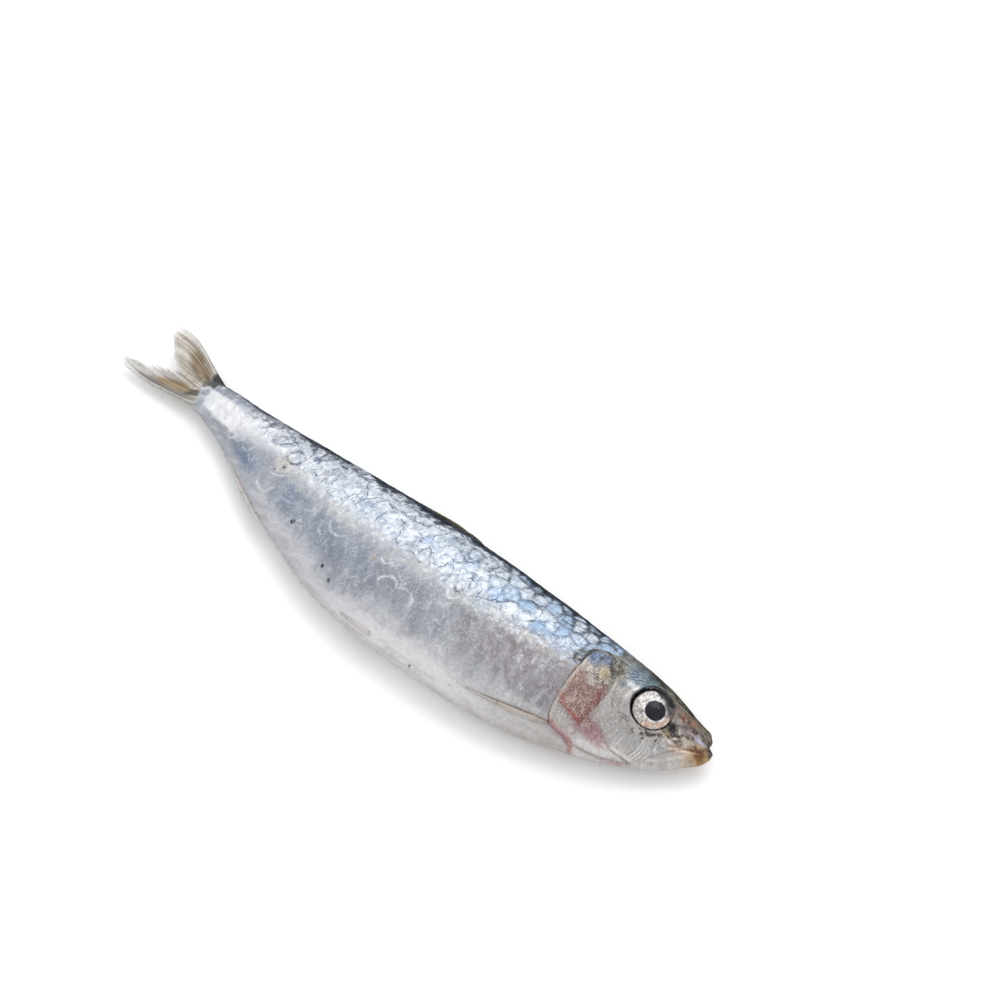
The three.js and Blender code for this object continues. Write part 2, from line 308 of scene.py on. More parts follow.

# Lines pressed into the head's skin: width, depth, the strength of the painted shade in the crease, and
# points as x and share of the depth
CREASES = (
    (0.30, 0.10, 0.25, ((3.4, 0.64), (5.0, 0.74), (6.6, 0.83), (8.3, 0.95))),
    (0.28, 0.10, 0.15, ((7.2, 0.62), (7.8, 0.80), (9.0, 0.965))),
    (0.30, 0.12, 0.15, ((15.5, 0.83), (12.5, 0.91), (9.2, 0.97))),
    (0.30, 0.14, 0.3, ((21.0, 0.935), (15.0, 0.968), (9.6, 0.985))),
    (0.35, 0.18, 0.35, ((21.8, 0.25), (20.3, 0.33), (19.6, 0.43), (19.5, 0.55), (19.9, 0.68), (20.6, 0.79))),
    (0.28, 0.10, 0.2, ((20.6, 0.79), (23.2, 0.755), (26.0, 0.70))),
    (0.28, 0.10, 0.2, ((19.3, 0.33), (18.6, 0.42), (17.8, 0.50), (16.9, 0.60), (16.3, 0.72))),
    (0.30, 0.24, 0.8, ((23.4, 0.150), (22.2, 0.160), (21.2, 0.185), (20.4, 0.23), (20.1, 0.29))),
    (0.30, 0.07, 0.2, ((16.4, 0.27), (17.1, 0.38), (16.4, 0.52), (14.6, 0.64), (11.8, 0.69), (9.0, 0.63))),
    (0.26, 0.10, 0.3, ((3.0, 0.16), (5.2, 0.21), (7.4, 0.20))),
)
MOUTH = ((-0.5, -0.9), (0.3, -1.0), (0.9, -1.4), (1.5, -2.1), (2.2, -3.0), (3.2, -4.1), (4.6, -5.5))
MAXILLA = ((0.9, -2.0), (3.4, -3.2), (6.0, -5.2), (7.9, -6.8))
NOSTRIL = (5.6, 0.18)  # as x and share of the depth
JAW_REACH = 1.0  # how far ahead the lower jaw is pushed
CHIN_REACH = 0.3  # and how much further below its lip
SNOUT_BACK = 0.45
SOCKET_DEPTH = 1.35
SOCKET_BOWL = 0.5  # how much deeper the socket's middle lies
SCALE_PITCH = 3.1  # along the body
SCALE_ROWS = 12.0  # between the back and the keel
MUSCLE_PITCH = 3.4


def rounded(points, count=10):
    """A smooth open line through points"""
    points = np.array(points, float)
    padded = np.vstack((2 * points[0] - points[1], points, 2 * points[-1] - points[-2]))
    t = np.linspace(0, 1, count, endpoint=False)[:, None]
    runs = []
    for a, b, c, d in zip(padded, padded[1:], padded[2:], padded[3:]):
        square = 2 * a - 5 * b + 4 * c - d
        cube = 3 * b - a - 3 * c + d
        runs.append(0.5 * (2 * b + (c - a) * t + square * t ** 2 + cube * t ** 3))
    return np.vstack((*runs, points[-1:]))


def line_distance(x, height, line):
    """Distance from each place of the flank to a line, and how far along the line its foot lies"""
    nearest = np.full(x.shape, 1e9)
    share = np.zeros(x.shape)
    for k, (a, b) in enumerate(zip(line, line[1:])):
        run = b - a
        t = np.clip(((x - a[0]) * run[0] + (height - a[1]) * run[1]) / (run @ run), 0, 1)
        distance = np.hypot(x - a[0] - t * run[0], height - a[1] - t * run[1])
        closer = distance < nearest
        nearest = np.where(closer, distance, nearest)
        share = np.where(closer, (k + t) / (len(line) - 1), share)
    return nearest, share


class Skin:
    """The skin's grid: where each of its points lies on the fish, and what is pressed into it there"""

    def __init__(self):
        self.turn = self.even_turns()[None, :]
        self.down = share_down(self.turn)
        self.edge = HEAD_LENGTH * curve(GILL_EDGE, 1, self.down)
        self.open = hump(self.down, 0.11, 0.19, 0.94, 0.99)
        self.x, self.fold = self.rows()
        self.down = np.broadcast_to(self.down, self.x.shape)
        self.right = np.broadcast_to(self.turn, self.x.shape) < 0.5
        self.height, self.side = section(self.x, self.turn)
        self.arc, self.girth = self.around()
        # Painted shade in the head's creases, the mouth's line and the nostril
        self.groove_shade = np.zeros(self.x.shape)
        self.relief = np.zeros(self.x.shape)

    @staticmethod
    def even_turns():
        """Turns that lie evenly on the widest section, close on the right flank and wider on the left"""
        turn = np.linspace(0, 0.5, 400)
        height, side = section(0.45 * BODY_LENGTH, turn)
        run = np.concatenate(([0], np.cumsum(np.hypot(np.diff(height), np.diff(side)))))
        right = np.interp(np.linspace(0, run[-1], SKIN_RIGHT + 1), run, turn)
        left = np.interp(np.linspace(0, run[-1], SKIN_LEFT + 1), run, turn)
        return np.concatenate((right, 1 - left[-2:0:-1]))

    def rows(self):
        """x of every point, with the rows bent to the gill cover's edge, and the fold's lift"""
        root = BODY_END - ROOT_ROUND
        before = np.concatenate((
            spread(END_GAP, SNOUT_ROUND, 0.12), spread(SNOUT_ROUND, EDGE - 0.65, 0.19)[1:],
        ))
        behind = np.concatenate((
            spread(EDGE + 1.2, root, 0.3), spread(root, BODY_END - END_GAP, 0.25)[1:],
        ))
        plain = []
        for rows, reach in ((before, EDGE_REACH[0]), (behind, EDGE_REACH[1])):
            follow = fall(np.abs(rows - EDGE), 1.5, reach)
            plain.append(rows[:, None] + follow[:, None] * (self.edge - EDGE))
        even = np.linspace(FOLD[0, 0], FOLD[-1, 0], len(FOLD))[:, None]
        folded = self.edge + even + self.open * (FOLD[:, :1] - even)
        x = np.vstack((plain[0], folded, plain[1]))
        here = slice(len(before), len(before) + len(FOLD))
        fold = np.full(x.shape, np.nan)
        fold[here] = GILL_STEP * self.open * FOLD[:, 1:2]
        # Where the gap behind the gill cover is painted: shade above, the gill's red low down
        self.slit_shade_and_red = np.zeros(x.shape)
        self.slit_shade_and_red[here] = self.open * FOLD[:, 2:]
        return x, fold

    def around(self):
        """Distance round the body from the back to each point, and from the back to the keel"""
        run = np.hypot(np.diff(self.height, axis=1), np.diff(self.side, axis=1))
        arc = np.hstack((np.zeros((len(run), 1)), np.cumsum(run, axis=1)))
        girth = arc[:, SKIN_RIGHT:SKIN_RIGHT + 1]
        return np.where(self.right, arc, 2 * girth - arc), girth

    def near(self, points):
        """Distance to a smooth line through points of the flank, and how far along the line its foot lies"""
        return line_distance(self.x, self.height, rounded(points))

    def press(self, width, depth, shade_strength, points):
        distance, _ = self.near(points)
        self.relief -= depth * bell(distance, width)
        # Painted shade along the crease
        self.groove_shade = np.maximum(self.groove_shade, shade_strength * bell(distance, width * 0.55))

    def press_head(self):
        for width, depth, shade_strength, points in CREASES:
            self.press(width, depth, shade_strength, [(x, height_at(x, down)) for x, down in points])
        distance, _ = self.near(MOUTH)
        open_mouth = fall(self.x, 0.5, 1.4)
        self.relief -= (0.10 + 0.6 * open_mouth) * bell(distance, 0.25)
        # Painted shade in the mouth's line
        self.groove_shade = np.maximum(self.groove_shade, open_mouth * bell(distance, 0.18))

    def raise_maxilla(self):
        distance, share = self.near(MAXILLA)
        width = 0.45 + 0.75 * share
        self.relief += 0.14 * fall(distance, width * 0.6, width)

    def raise_gill_cover(self):
        before = self.x < self.edge
        rise = step(self.x, self.edge - HEAD_LENGTH * 0.5, self.edge - 1.5)
        shoulder = -0.12 * bell(self.x - self.edge - 1.4, 1.2)
        plain = GILL_STEP * self.open * np.where(before, rise, shoulder)
        self.relief += np.where(np.isnan(self.fold), plain, self.fold)

    def press_socket(self):
        self.eye_distance = np.hypot(self.x - EYE_ALONG, self.height - EYE_HEIGHT)
        inside = fall(self.eye_distance, SOCKET_RADIUS - 0.25, SOCKET_RADIUS + 0.2)
        deep = fall(self.eye_distance, 2.0, SOCKET_RADIUS)
        self.relief -= inside * (SOCKET_DEPTH + SOCKET_BOWL * deep)
        self.relief += 0.12 * bell(self.eye_distance - SOCKET_RADIUS - 0.5, 0.35)

    def press_nostril(self):
        x, down = NOSTRIL
        distance = np.hypot((self.x - x) * 0.8, self.height - height_at(x, down))
        self.relief -= 0.35 * bell(distance, 0.32)
        # Painted shade in the nostril's pit
        self.groove_shade = np.maximum(self.groove_shade, bell(distance, 0.3))

    def lay_scales(self):
        """Rounded scales in staggered rows. Every scale stands up a little towards the tail."""
        a, b = self.x / SCALE_PITCH, self.arc / self.girth * SCALE_ROWS
        self.scale_gap, own_x, self.scale_tone = cells(a, b, SCALE_PITCH, self.girth / SCALE_ROWS, 0.62)
        behind_head = step(self.x - self.edge, 0.8, 3.0) * fall(self.x, 112, 124)
        upper = hump(self.down, 0.02, 0.06, 0.28, 0.50)
        scaled = behind_head * (0.12 + upper * (1 - 0.6 * step(self.x, 50, 80)))
        plump = step(self.scale_gap, 0.0, 0.7)
        self.relief += scaled * (0.08 * plump - 0.05 + 0.03 * plump * own_x)

    def raise_scutes(self):
        """The saw edge of the belly"""
        saw = np.mod(self.x / SCALE_PITCH, 1.0)
        near_keel = bell(self.girth - self.arc, 0.9)
        self.relief += 0.22 * near_keel * hump(self.x, 21, 26, 92, 100) * (saw ** 2 - 0.4)

    def soften(self):
        """Muscle bands under the skin and the unevenness of soft flesh"""
        trunk = step(self.x - self.edge, 0.5, 8)
        bend = 13.2 * np.abs(self.down - 0.42)
        sway = 1.2 * waves(self.x, self.arc, 18, seed=9)
        bands = np.sin(2 * np.pi * (self.x + bend) / MUSCLE_PITCH + sway)
        self.relief += 0.025 * trunk * bands * hump(self.down, 0.2, 0.35, 0.8, 0.92)
        self.relief += 0.10 * waves(self.x, self.arc, 11, seed=1) * hump(self.x, 2, 8, 118, 128)
        self.relief += 0.035 * waves(self.x, self.arc, 2.6, count=11, seed=2) * step(self.x, 1, 5)

    def shape_jaws(self):
        """A full lower lip, a flat snout, and how far ahead the jaws end: the lower one past the upper one"""
        self.relief += 0.5 * hump(self.x, 0.2, 1.4, 2.6, 5.5) * step(self.down, 0.6, 0.9)
        self.relief -= 0.3 * fall(self.x, 3.0, 8.0) * step(self.height, 0.0, 1.0)
        chin = hump(-self.height, 0.8, 1.15, 2.6, 6.8) * fall(self.x, 1.5, 6.0)
        jaw = (JAW_REACH + CHIN_REACH * step(-self.height, 1.0, 2.2)) * chin
        return jaw - SNOUT_BACK * step(self.height, -1.1, -0.3) * fall(self.x, 0, 3.4)

    def points(self):
        self.press_head()
        self.raise_maxilla()
        self.press_socket()
        self.press_nostril()
        self.lay_scales()
        self.raise_scutes()
        self.soften()
        self.raise_gill_cover()
        ahead = self.shape_jaws()
        fade = step(self.x, 0.0, 0.6) * fall(self.x, BODY_END - 0.8, BODY_END)
        points = skin_at(self.x, self.turn, self.relief * fade)
        points[..., 0] += ahead
        return points


# Marks on the right flank

# Bright curved lines where scales came off: x, share down, radius, the line's start and end in degrees with
# 0 towards the tail and 90 towards the back, and its strength
ARCS = (
    (60.4, 0.70, 2.1, 40, 178, 0.8), (64.5, 0.69, 2, 0, 160, 0.9), (67.9, 0.53, 1.25, 195, 320, 0.9),
    (53.9, 0.52, 1.7, 190, 290, 0.6), (79.6, 0.52, 2.9, 225, 335, 0.8), (75.5, 0.55, 2.2, 230, 300, 0.4),
    (92.5, 0.60, 2.6, 215, 300, 0.5), (99.3, 0.705, 2.3, 205, 335, 0.7), (98.8, 0.50, 2.6, 225, 330, 0.8),
    (88, 0.55, 2.2, 215, 290, 0.4), (81.5, 0.62, 2, 290, 375, 0.4), (93, 0.83, 2, 225, 320, 0.4),
    (105.5, 0.62, 1.6, 215, 330, 0.4), (108.5, 0.62, 1.5, 180, 300, 0.5), (113.2, 0.70, 1.1, 170, 340, 0.7),
    (115.6, 0.71, 1.3, 60, 250, 0.6), (35, 0.58, 1, 300, 420, 0.8), (32.6, 0.555, 1, 320, 420, 0.7),
    (41.4, 0.50, 1, 100, 290, 0.6), (53.3, 0.47, 1.15, 200, 340, 0.9), (62.3, 0.80, 1.3, 100, 200, 0.4),
    (66.6, 0.80, 1.2, 110, 200, 0.4), (57.6, 0.62, 2.4, 170, 215, 0.3), (47.5, 0.66, 1.6, 200, 300, 0.3),
    (98.9, 0.50, 1.75, 170, 330, 0.55),
)
# Dark curved lines, in the same way
DARK_ARCS = (
    (98, 0.35, 1.75, 20, 330, 0.85), (100.4, 0.37, 2.4, 20, 95, 0.8), (103, 0.30, 2, 330, 380, 0.6),
    (53.1, 0.425, 0.95, 165, 340, 0.8), (52.8, 0.33, 1.3, 60, 130, 0.5), (74.8, 0.13, 2.4, 250, 300, 0.7),
    (67.6, 0.15, 1.4, 200, 320, 0.7), (71, 0.16, 1.4, 210, 330, 0.6), (59.9, 0.19, 1.2, 50, 130, 0.5),
)
# Small dark specks: x, share down, radius
SPECKS = (
    (74.9, 0.868, 0.26), (78.0, 0.847, 0.24), (63.0, 0.955, 0.16), (43.6, 0.935, 0.12), (52.4, 0.965, 0.10),
    (88.9, 0.783, 0.24), (86.2, 0.786, 0.12), (98.4, 0.52, 0.22), (99.5, 0.585, 0.16), (10.2, 0.68, 0.12),
    (12.1, 0.675, 0.10), (62.3, 0.43, 0.2), (55.3, 0.33, 0.16), (65.2, 0.31, 0.2),
)
# Pale and dark lines on the head: points as x and height, width, colour and strength, and for a bundle the
# number of copies and the shift between them
HEAD_LINES = (
    (((14.1, -12.6), (12.5, -12.7), (10.5, -12.4), (8.8, -12.1)), 0.24, (232, 228, 226), 0.9),
    (((14.3, -13.1), (12.5, -13.1), (10.5, -12.8), (8.9, -12.5)), 0.2, (128, 112, 108), 0.7),
    (((8.5, -12), (8, -10.8), (7.8, -9.5), (8.2, -7.8)), 0.16, (232, 230, 228), 0.8, 4, (0.55, 0.05)),
    (((8.8, -12), (8.3, -10.8), (8.1, -9.5), (8.5, -7.8)), 0.12, (132, 128, 126), 0.6, 4, (0.55, 0.05)),
    (((13.4, -12.4), (12.9, -11.4), (12.8, -10.2)), 0.16, (224, 222, 220), 0.7, 3, (0.7, 0.3)),
    (((5.9, -6.5), (4.5, -5.4), (3.2, -4.2), (2.4, -3.3)), 0.2, (232, 212, 188), 0.85),
    (((6, -5.9), (4.5, -4.8), (2.9, -3.5)), 0.2, (150, 122, 92), 0.6),
    (((5.9, -7), (4.5, -5.9), (3.3, -4.8)), 0.2, (160, 146, 134), 0.6),
    (((7.5, -6.9), (7.9, -7.8), (7.3, -8.6), (5.9, -8.5), (4.5, -7.3)), 0.4, (148, 144, 146), 0.7),
    (((7.1, -7), (7.4, -7.6), (6.9, -8.1), (5.8, -7.9), (4.6, -6.9)), 0.26, (214, 211, 210), 0.7),
    (((5.2, -7.3), (4.3, -6.3), (3.2, -5), (2.2, -3.8)), 0.4, (226, 206, 194), 0.8),
    (((7.6, -10.9), (5.6, -9.3), (4, -7.4), (2.6, -5.3)), 0.22, (168, 156, 154), 0.7, 2, (0.5, 0.75)),
    (((8, -10.7), (5.8, -8.9), (4.2, -7.1), (2.8, -5.1)), 0.26, (224, 218, 214), 0.7),
    (((19.3, -15.6), (17.2, -15.2), (15.1, -14.8), (12.6, -13.9)), 0.6, (226, 223, 224), 0.8),
    (((19.2, -16.3), (16.8, -15.9), (14.5, -15.3), (12.4, -14.5), (9.8, -13.1)), 0.2, (168, 138, 144), 0.7),
    (((18.8, -17), (16.8, -16.7), (14, -15.9), (11, -14.4)), 0.4, (224, 221, 221), 0.7),
    (((17.6, -14.7), (15.7, -14.2), (13, -13.5), (10.7, -12.9)), 0.24, (226, 222, 222), 0.6, 2, (0.4, 0.5)),
    (((15.6, -7.8), (14.5, -7.6), (13.5, -7.5)), 0.16, (84, 80, 80), 0.8, 2, (0.5, 0.45)),
    (((19, -4.7), (18.5, -5.8), (17.8, -6.6), (17, -7.8)), 0.18, (80, 72, 64), 0.75),
    (((18.6, -4.9), (18.1, -5.9), (17.4, -6.8), (16.6, -8)), 0.18, (216, 210, 206), 0.6),
    (((3.7, -0.6), (2.8, 0), (1.9, 0), (1.3, -0.5), (1.2, -1.5)), 0.3, (44, 32, 26), 0.95),
    (((2.6, 0.9), (1.7, 0.7), (0.8, 0.2), (0.3, -0.5)), 0.26, (42, 36, 30), 0.95),
    (((2.4, 0.4), (1.5, 0.3), (0.8, -0.3), (0.6, -1)), 0.18, (190, 172, 152), 0.7),
    (((3.4, -4), (2.8, -3.5), (1.9, -2.3), (1.2, -1.2)), 0.34, (104, 62, 36), 0.85),
    (((2.6, -4.4), (1.8, -3.5), (1.1, -2.5), (0.7, -1.5)), 0.26, (112, 70, 40), 0.7),
    (((10.8, 1.9), (8.6, 1.6), (6.4, 1.6), (4.2, 1.3), (2.6, 1.2)),
     0.15, (182, 164, 136), 0.7, 4, (0.1, -0.4)),
    (((10.8, 1.7), (8.6, 1.4), (6.4, 1.4), (4.2, 1.1), (2.6, 1)), 0.15, (52, 42, 32), 0.8, 4, (0.1, -0.4)),
    (((9.6, 0.7), (8.8, -0.3), (8.1, -1.2)), 0.13, (158, 142, 132), 0.55, 3, (-0.5, 0.35)),
    (((7.6, 0.5), (6.6, 0.1), (5.4, 0.1), (4, 0.3)), 0.14, (216, 160, 112), 0.7, 2, (0.1, 0.45)),
    (((7.4, 0.2), (6.4, -0.1), (5.2, -0.1), (3.8, 0.1)), 0.15, (96, 54, 34), 0.75, 2, (0.1, 0.5)),
    (((6.6, -1.6), (5.4, -1), (4.4, -0.3), (3.6, -0.1)), 0.16, (60, 46, 44), 0.7),
)
# The broken dark line under the eye
UNDER_EYE = (
    (12.3, -8.1), (11, -7.7), (10.2, -7.3), (9, -6.4), (7.7, -5.4), (6.6, -4.7), (5.8, -3.9), (4.9, -2.7),
    (3.9, -1.8),
)
# A painted shadow: the black line along the top of the gill cover's edge, as x and height
DOME_SHADOW = (
    (26.6, -5), (26.8, -3.8), (26.95, -2.4), (26.7, -0.9), (25.7, -0.05), (24.3, 0.25),
    (22.9, 0.1), (22, -0.5),
)
# The line in which the gill cover's rear edge turns forward under the throat, as x and height
THROAT = ((24.9, -16.1), (23, -16.4), (21.3, -16.4), (19.9, -16.5), (19.4, -17.6))
# The upper and lower borders of the gill cover's blood, as x and height
BLOOD_TOP = ((18, -6), (20.2, -5.9), (22.9, -7.4), (24.4, -6.1), (26.8, -5.2))
BLOOD_BOTTOM = ((18, -13.6), (20.6, -13.5), (22.5, -13.3), (25.2, -12.9), (26.5, -12.2))
# Its deeper lines: their points, width, colour and strength
BLOOD_LINES = (
    (((20.7, -6), (20.2, -8.2), (19.9, -10.2), (20, -11.8), (20.6, -13)), 0.75, (116, 54, 52), 0.85),
    (((18.4, -11.6), (18.7, -13), (20, -13.8)), 0.8, (140, 88, 88), 0.5),
    (((20.6, -13.2), (22.5, -12.9), (24.9, -12.2), (25.9, -11.4)), 0.5, (156, 66, 54), 0.85),
    (((26.5, -5.4), (26.3, -7.2), (26, -9.2)), 0.35, (204, 128, 104), 0.7),
)


# Meshes

def make_object(name, points, faces, material, fields=(), vectors=()):
    mesh = bpy.data.meshes.new(name)
    mesh.from_pydata(np.asarray(points, float).reshape(-1, 3).tolist(), [], faces)
    mesh.polygons.foreach_set("use_smooth", [True] * len(mesh.polygons))
    mesh.materials.append(material)
    for kind, word, layers in (("FLOAT", "value", fields), ("FLOAT_VECTOR", "vector", vectors)):
        for key, values in dict(layers).items():
            layer = mesh.attributes.new(key, kind, "POINT")
            layer.data.foreach_set(word, np.asarray(values, np.float32).ravel())
    thing = bpy.data.objects.new(name, mesh)
    bpy.context.scene.collection.objects.link(thing)
    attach(thing, "root")
    return thing


def tube_faces(rows, columns):
    """Faces of a grid that closes round each row, with a cap on both ends. The caps' middles come last."""
    i, j = np.meshgrid(np.arange(rows - 1), np.arange(columns), indexing="ij")
    near, far = i * columns + j, i * columns + (j + 1) % columns
    faces = np.stack((near, near + columns, far + columns, far), -1).reshape(-1, 4).tolist()
    first, last = rows * columns, rows * columns + 1
    end = (rows - 1) * columns
    for k in range(columns):
        after = (k + 1) % columns
        faces.append((first, k, after))
        faces.append((last, end + after, end + k))
    return faces


def with_caps(grid):
    """A grid's values with the mean of its first and of its last row at the end"""
    flat = grid.reshape(-1, *grid.shape[2:])
    return np.concatenate((flat, grid[:1].mean(axis=1), grid[-1:].mean(axis=1)))


def sheet_faces(rows, columns):
    """Faces of a thin closed sheet: an upper grid and a lower one after it"""
    i, j = np.meshgrid(np.arange(rows - 1), np.arange(columns - 1), indexing="ij")
    a = i * columns + j
    upper = np.stack((a, a + columns, a + columns + 1, a + 1), -1).reshape(-1, 4)
    lower = upper[:, ::-1] + rows * columns
    faces = upper.tolist() + lower.tolist()
    rim = [(k, 0) for k in range(rows)] + [(rows - 1, k) for k in range(1, columns)]
    rim += [(k, columns - 1) for k in range(rows - 2, -1, -1)] + [(0, k) for k in range(columns - 2, 0, -1)]
    ring = [k * columns + m for k, m in rim]
    for a, b in zip(ring, ring[1:] + ring[:1]):
        faces.append((b, a, a + rows * columns, b + rows * columns))
    return faces


def add_bake_map(thing, rows, columns):
    """Unrolls a tube's faces into one rectangle"""
    mesh = thing.data
    layer = mesh.uv_layers.new(name="OFBake")
    quads = (rows - 1) * columns
    i, j = np.divmod(np.arange(quads), columns)
    corners = np.stack((i, j, i + 1, j, i + 1, j + 1, i, j + 1), -1).reshape(-1, 2)
    flat = np.zeros((len(mesh.loops), 2))
    flat[:quads * 4] = corners / (rows - 1, columns)
    caps = []
    for k in range(columns):
        for row in (0, rows - 1):
            shares = ((row, k + 0.5), (row, k), (row, k + 1))
            order = shares if row == 0 else (shares[0], shares[2], shares[1])
            caps += [(r / (rows - 1), c / columns) for r, c in order]
    flat[quads * 4:] = caps
    layer.data.foreach_set("uv", flat.ravel())


# Materials

def linear(values):
    """Blender's linear values for the picture's own ones, from 0 to 255"""
    shares = values / 255
    return np.where(shares <= 0.04045, shares / 12.92, ((shares + 0.055) / 1.055) ** 2.4)


def rgb(red, green, blue):
    return (*linear(np.array((red, green, blue), float)), 1.0)


class Paint:
    """Short calls for a material's nodes. Values may be numbers, colours or sockets."""

    def __init__(self, name):
        self.material = bpy.data.materials.new(name)
        self.material.use_nodes = True
        self.tree = self.material.node_tree
        self.shader = self.tree.nodes["Principled BSDF"]

    def node(self, kind, inputs=(), **settings):
        made = self.tree.nodes.new(kind)
        for key, value in settings.items():
            setattr(made, key, value)
        for key, value in dict(inputs).items():
            self.feed(made.inputs[key], value)
        return made

    def feed(self, socket, value):
        if isinstance(value, bpy.types.NodeSocket):
            self.tree.links.new(value, socket)
        else:
            socket.default_value = value

    def set(self, **values):
        for key, value in values.items():
            self.feed(self.shader.inputs[key.replace("_", " ")], value)

    def field(self, name):
        return self.node("ShaderNodeAttribute", attribute_name=name).outputs["Fac"]

    def vector(self, name):
        return self.node("ShaderNodeAttribute", attribute_name=name).outputs["Vector"]

    def math(self, operation, first, second=0.0):
        return self.node("ShaderNodeMath", {0: first, 1: second}, operation=operation).outputs[0]

    def add(self, first, second):
        return self.math("ADD", first, second)

    def times(self, first, *others):
        for other in others:
            first = self.math("MULTIPLY", first, other)
        return first

    def less(self, value):
        """1 minus a value"""
        return self.math("SUBTRACT", 1.0, value)

    def rise(self, value, low, high, bottom=0.0, top=1.0):
        inputs = {"Value": value, "From Min": low, "From Max": high, "To Min": bottom, "To Max": top}
        return self.node("ShaderNodeMapRange", inputs, interpolation_type="SMOOTHSTEP").outputs["Result"]

    def fall(self, value, low, high):
        return self.rise(value, low, high, 1.0, 0.0)

    def hump(self, value, low, peak_low, peak_high, high):
        return self.times(self.rise(value, low, peak_low), self.fall(value, peak_high, high))

    def noise(self, vector, scale, detail=2.0, roughness=0.5, distortion=0.0):
        inputs = {
            "Vector": vector, "Scale": scale, "Detail": detail,
            "Roughness": roughness, "Distortion": distortion,
        }
        return self.node("ShaderNodeTexNoise", inputs, noise_dimensions="2D").outputs["Fac"]

    def warp(self, vector, scale, reach):
        """The vector pushed about unevenly"""
        colour = self.node("ShaderNodeTexNoise", {"Vector": vector, "Scale": scale}).outputs["Color"]
        inputs = {0: colour, 1: (reach, reach, 0.0), 2: vector}
        return self.node("ShaderNodeVectorMath", inputs, operation="MULTIPLY_ADD").outputs[0]

    def stretch(self, vector, factors):
        return self.node("ShaderNodeVectorMath", {0: vector, 1: factors}, operation="MULTIPLY").outputs[0]

    def threads(self, vector, scale, thin, detail=2.0, distortion=0.8):
        """Thin wandering lines, where a noise crosses its middle"""
        ground = self.noise(vector, scale, detail, 0.5, distortion)
        return self.fall(self.math("ABSOLUTE", self.math("SUBTRACT", ground, 0.5)), 0.0, thin)

    def crackle(self, vector, scale, thin):
        """Thin lines between irregular cells"""
        settings = {"feature": "DISTANCE_TO_EDGE", "voronoi_dimensions": "2D"}
        borders = self.node("ShaderNodeTexVoronoi", {"Vector": vector, "Scale": scale}, **settings)
        return self.fall(borders.outputs["Distance"], 0.0, thin)

    def cell_tone(self, vector, scale):
        """A random tone for each of many irregular cells"""
        tones = self.node("ShaderNodeTexVoronoi", {"Vector": vector, "Scale": scale}, voronoi_dimensions="2D")
        return self.math("MULTIPLY", tones.outputs["Color"], 1.0)

    def split(self, vector):
        return self.node("ShaderNodeSeparateXYZ", {0: vector}).outputs[:3]

    def stripes(self, flank, facing, pitch, uneven):
        """Waves between -1 and 1 along a direction of the flank"""
        inputs = {0: flank, 1: (*facing, 0.0)}
        run = self.node("ShaderNodeVectorMath", inputs, operation="DOT_PRODUCT").outputs["Value"]
        run = self.add(self.times(run, 2 * math.pi / pitch), self.times(uneven, 6.0))
        return self.math("SINE", run)

    def fan(self, flank, centre, pitch, uneven):
        """Waves between -1 and 1 round a centre, a pitch of degrees apart"""
        x, height, _ = self.split(flank)
        angle = self.math("ARCTAN2", self.add(x, -centre[0]), self.math("SUBTRACT", centre[1], height))
        run = self.add(self.times(angle, 360 / pitch), self.times(uneven, 12.0))
        return self.math("SINE", run)

    def spot(self, along, down, centre, size, soft=0.35):
        """An oval patch: centre as x and share down, size as the two half widths"""
        dx = self.math("DIVIDE", self.math("SUBTRACT", along, centre[0]), size[0])
        dy = self.math("DIVIDE", self.math("SUBTRACT", down, centre[1]), size[1])
        far = self.add(self.times(dx, dx), self.times(dy, dy))
        return self.fall(far, 1.0 - soft * 2, 1.0 + soft * 2)

    def over(self, below, above, share):
        """A mix of two colours, each the output of a node or its red, green and blue out of 255"""
        mix = self.node("ShaderNodeMix", data_type="RGBA")
        self.feed(mix.inputs[0], share)
        for key, colour in ((6, below), (7, above)):
            self.feed(mix.inputs[key], rgb(*colour) if isinstance(colour, tuple) else colour)
        return mix.outputs[2]

    def lay(self, colour, *shares):
        """The next layer of the material's colour. Its share is the product of the shares."""
        self.colour = self.over(self.colour, colour, self.times(*shares))

    def mottle(self, ground, where, *tones):
        """Tones that come with a ground: colour, the values at which each starts and is full, strength"""
        for colour, start, full, strength in tones:
            self.lay(colour, self.rise(ground, start, full), *where, strength)

    def bump(self, height, distance, strength=1.0, normal=None):
        inputs = {"Height": height, "Distance": distance, "Strength": strength}
        if normal:
            inputs["Normal"] = normal
        return self.node("ShaderNodeBump", inputs).outputs["Normal"]


# The skin's colours

UNDER_LIGHT = 0.76  # the share of a colour's brightness that the skin needs under the studio's light
FLANK_SHIFT = 70  # moves the left flank's uneven grounds, so that the flanks differ

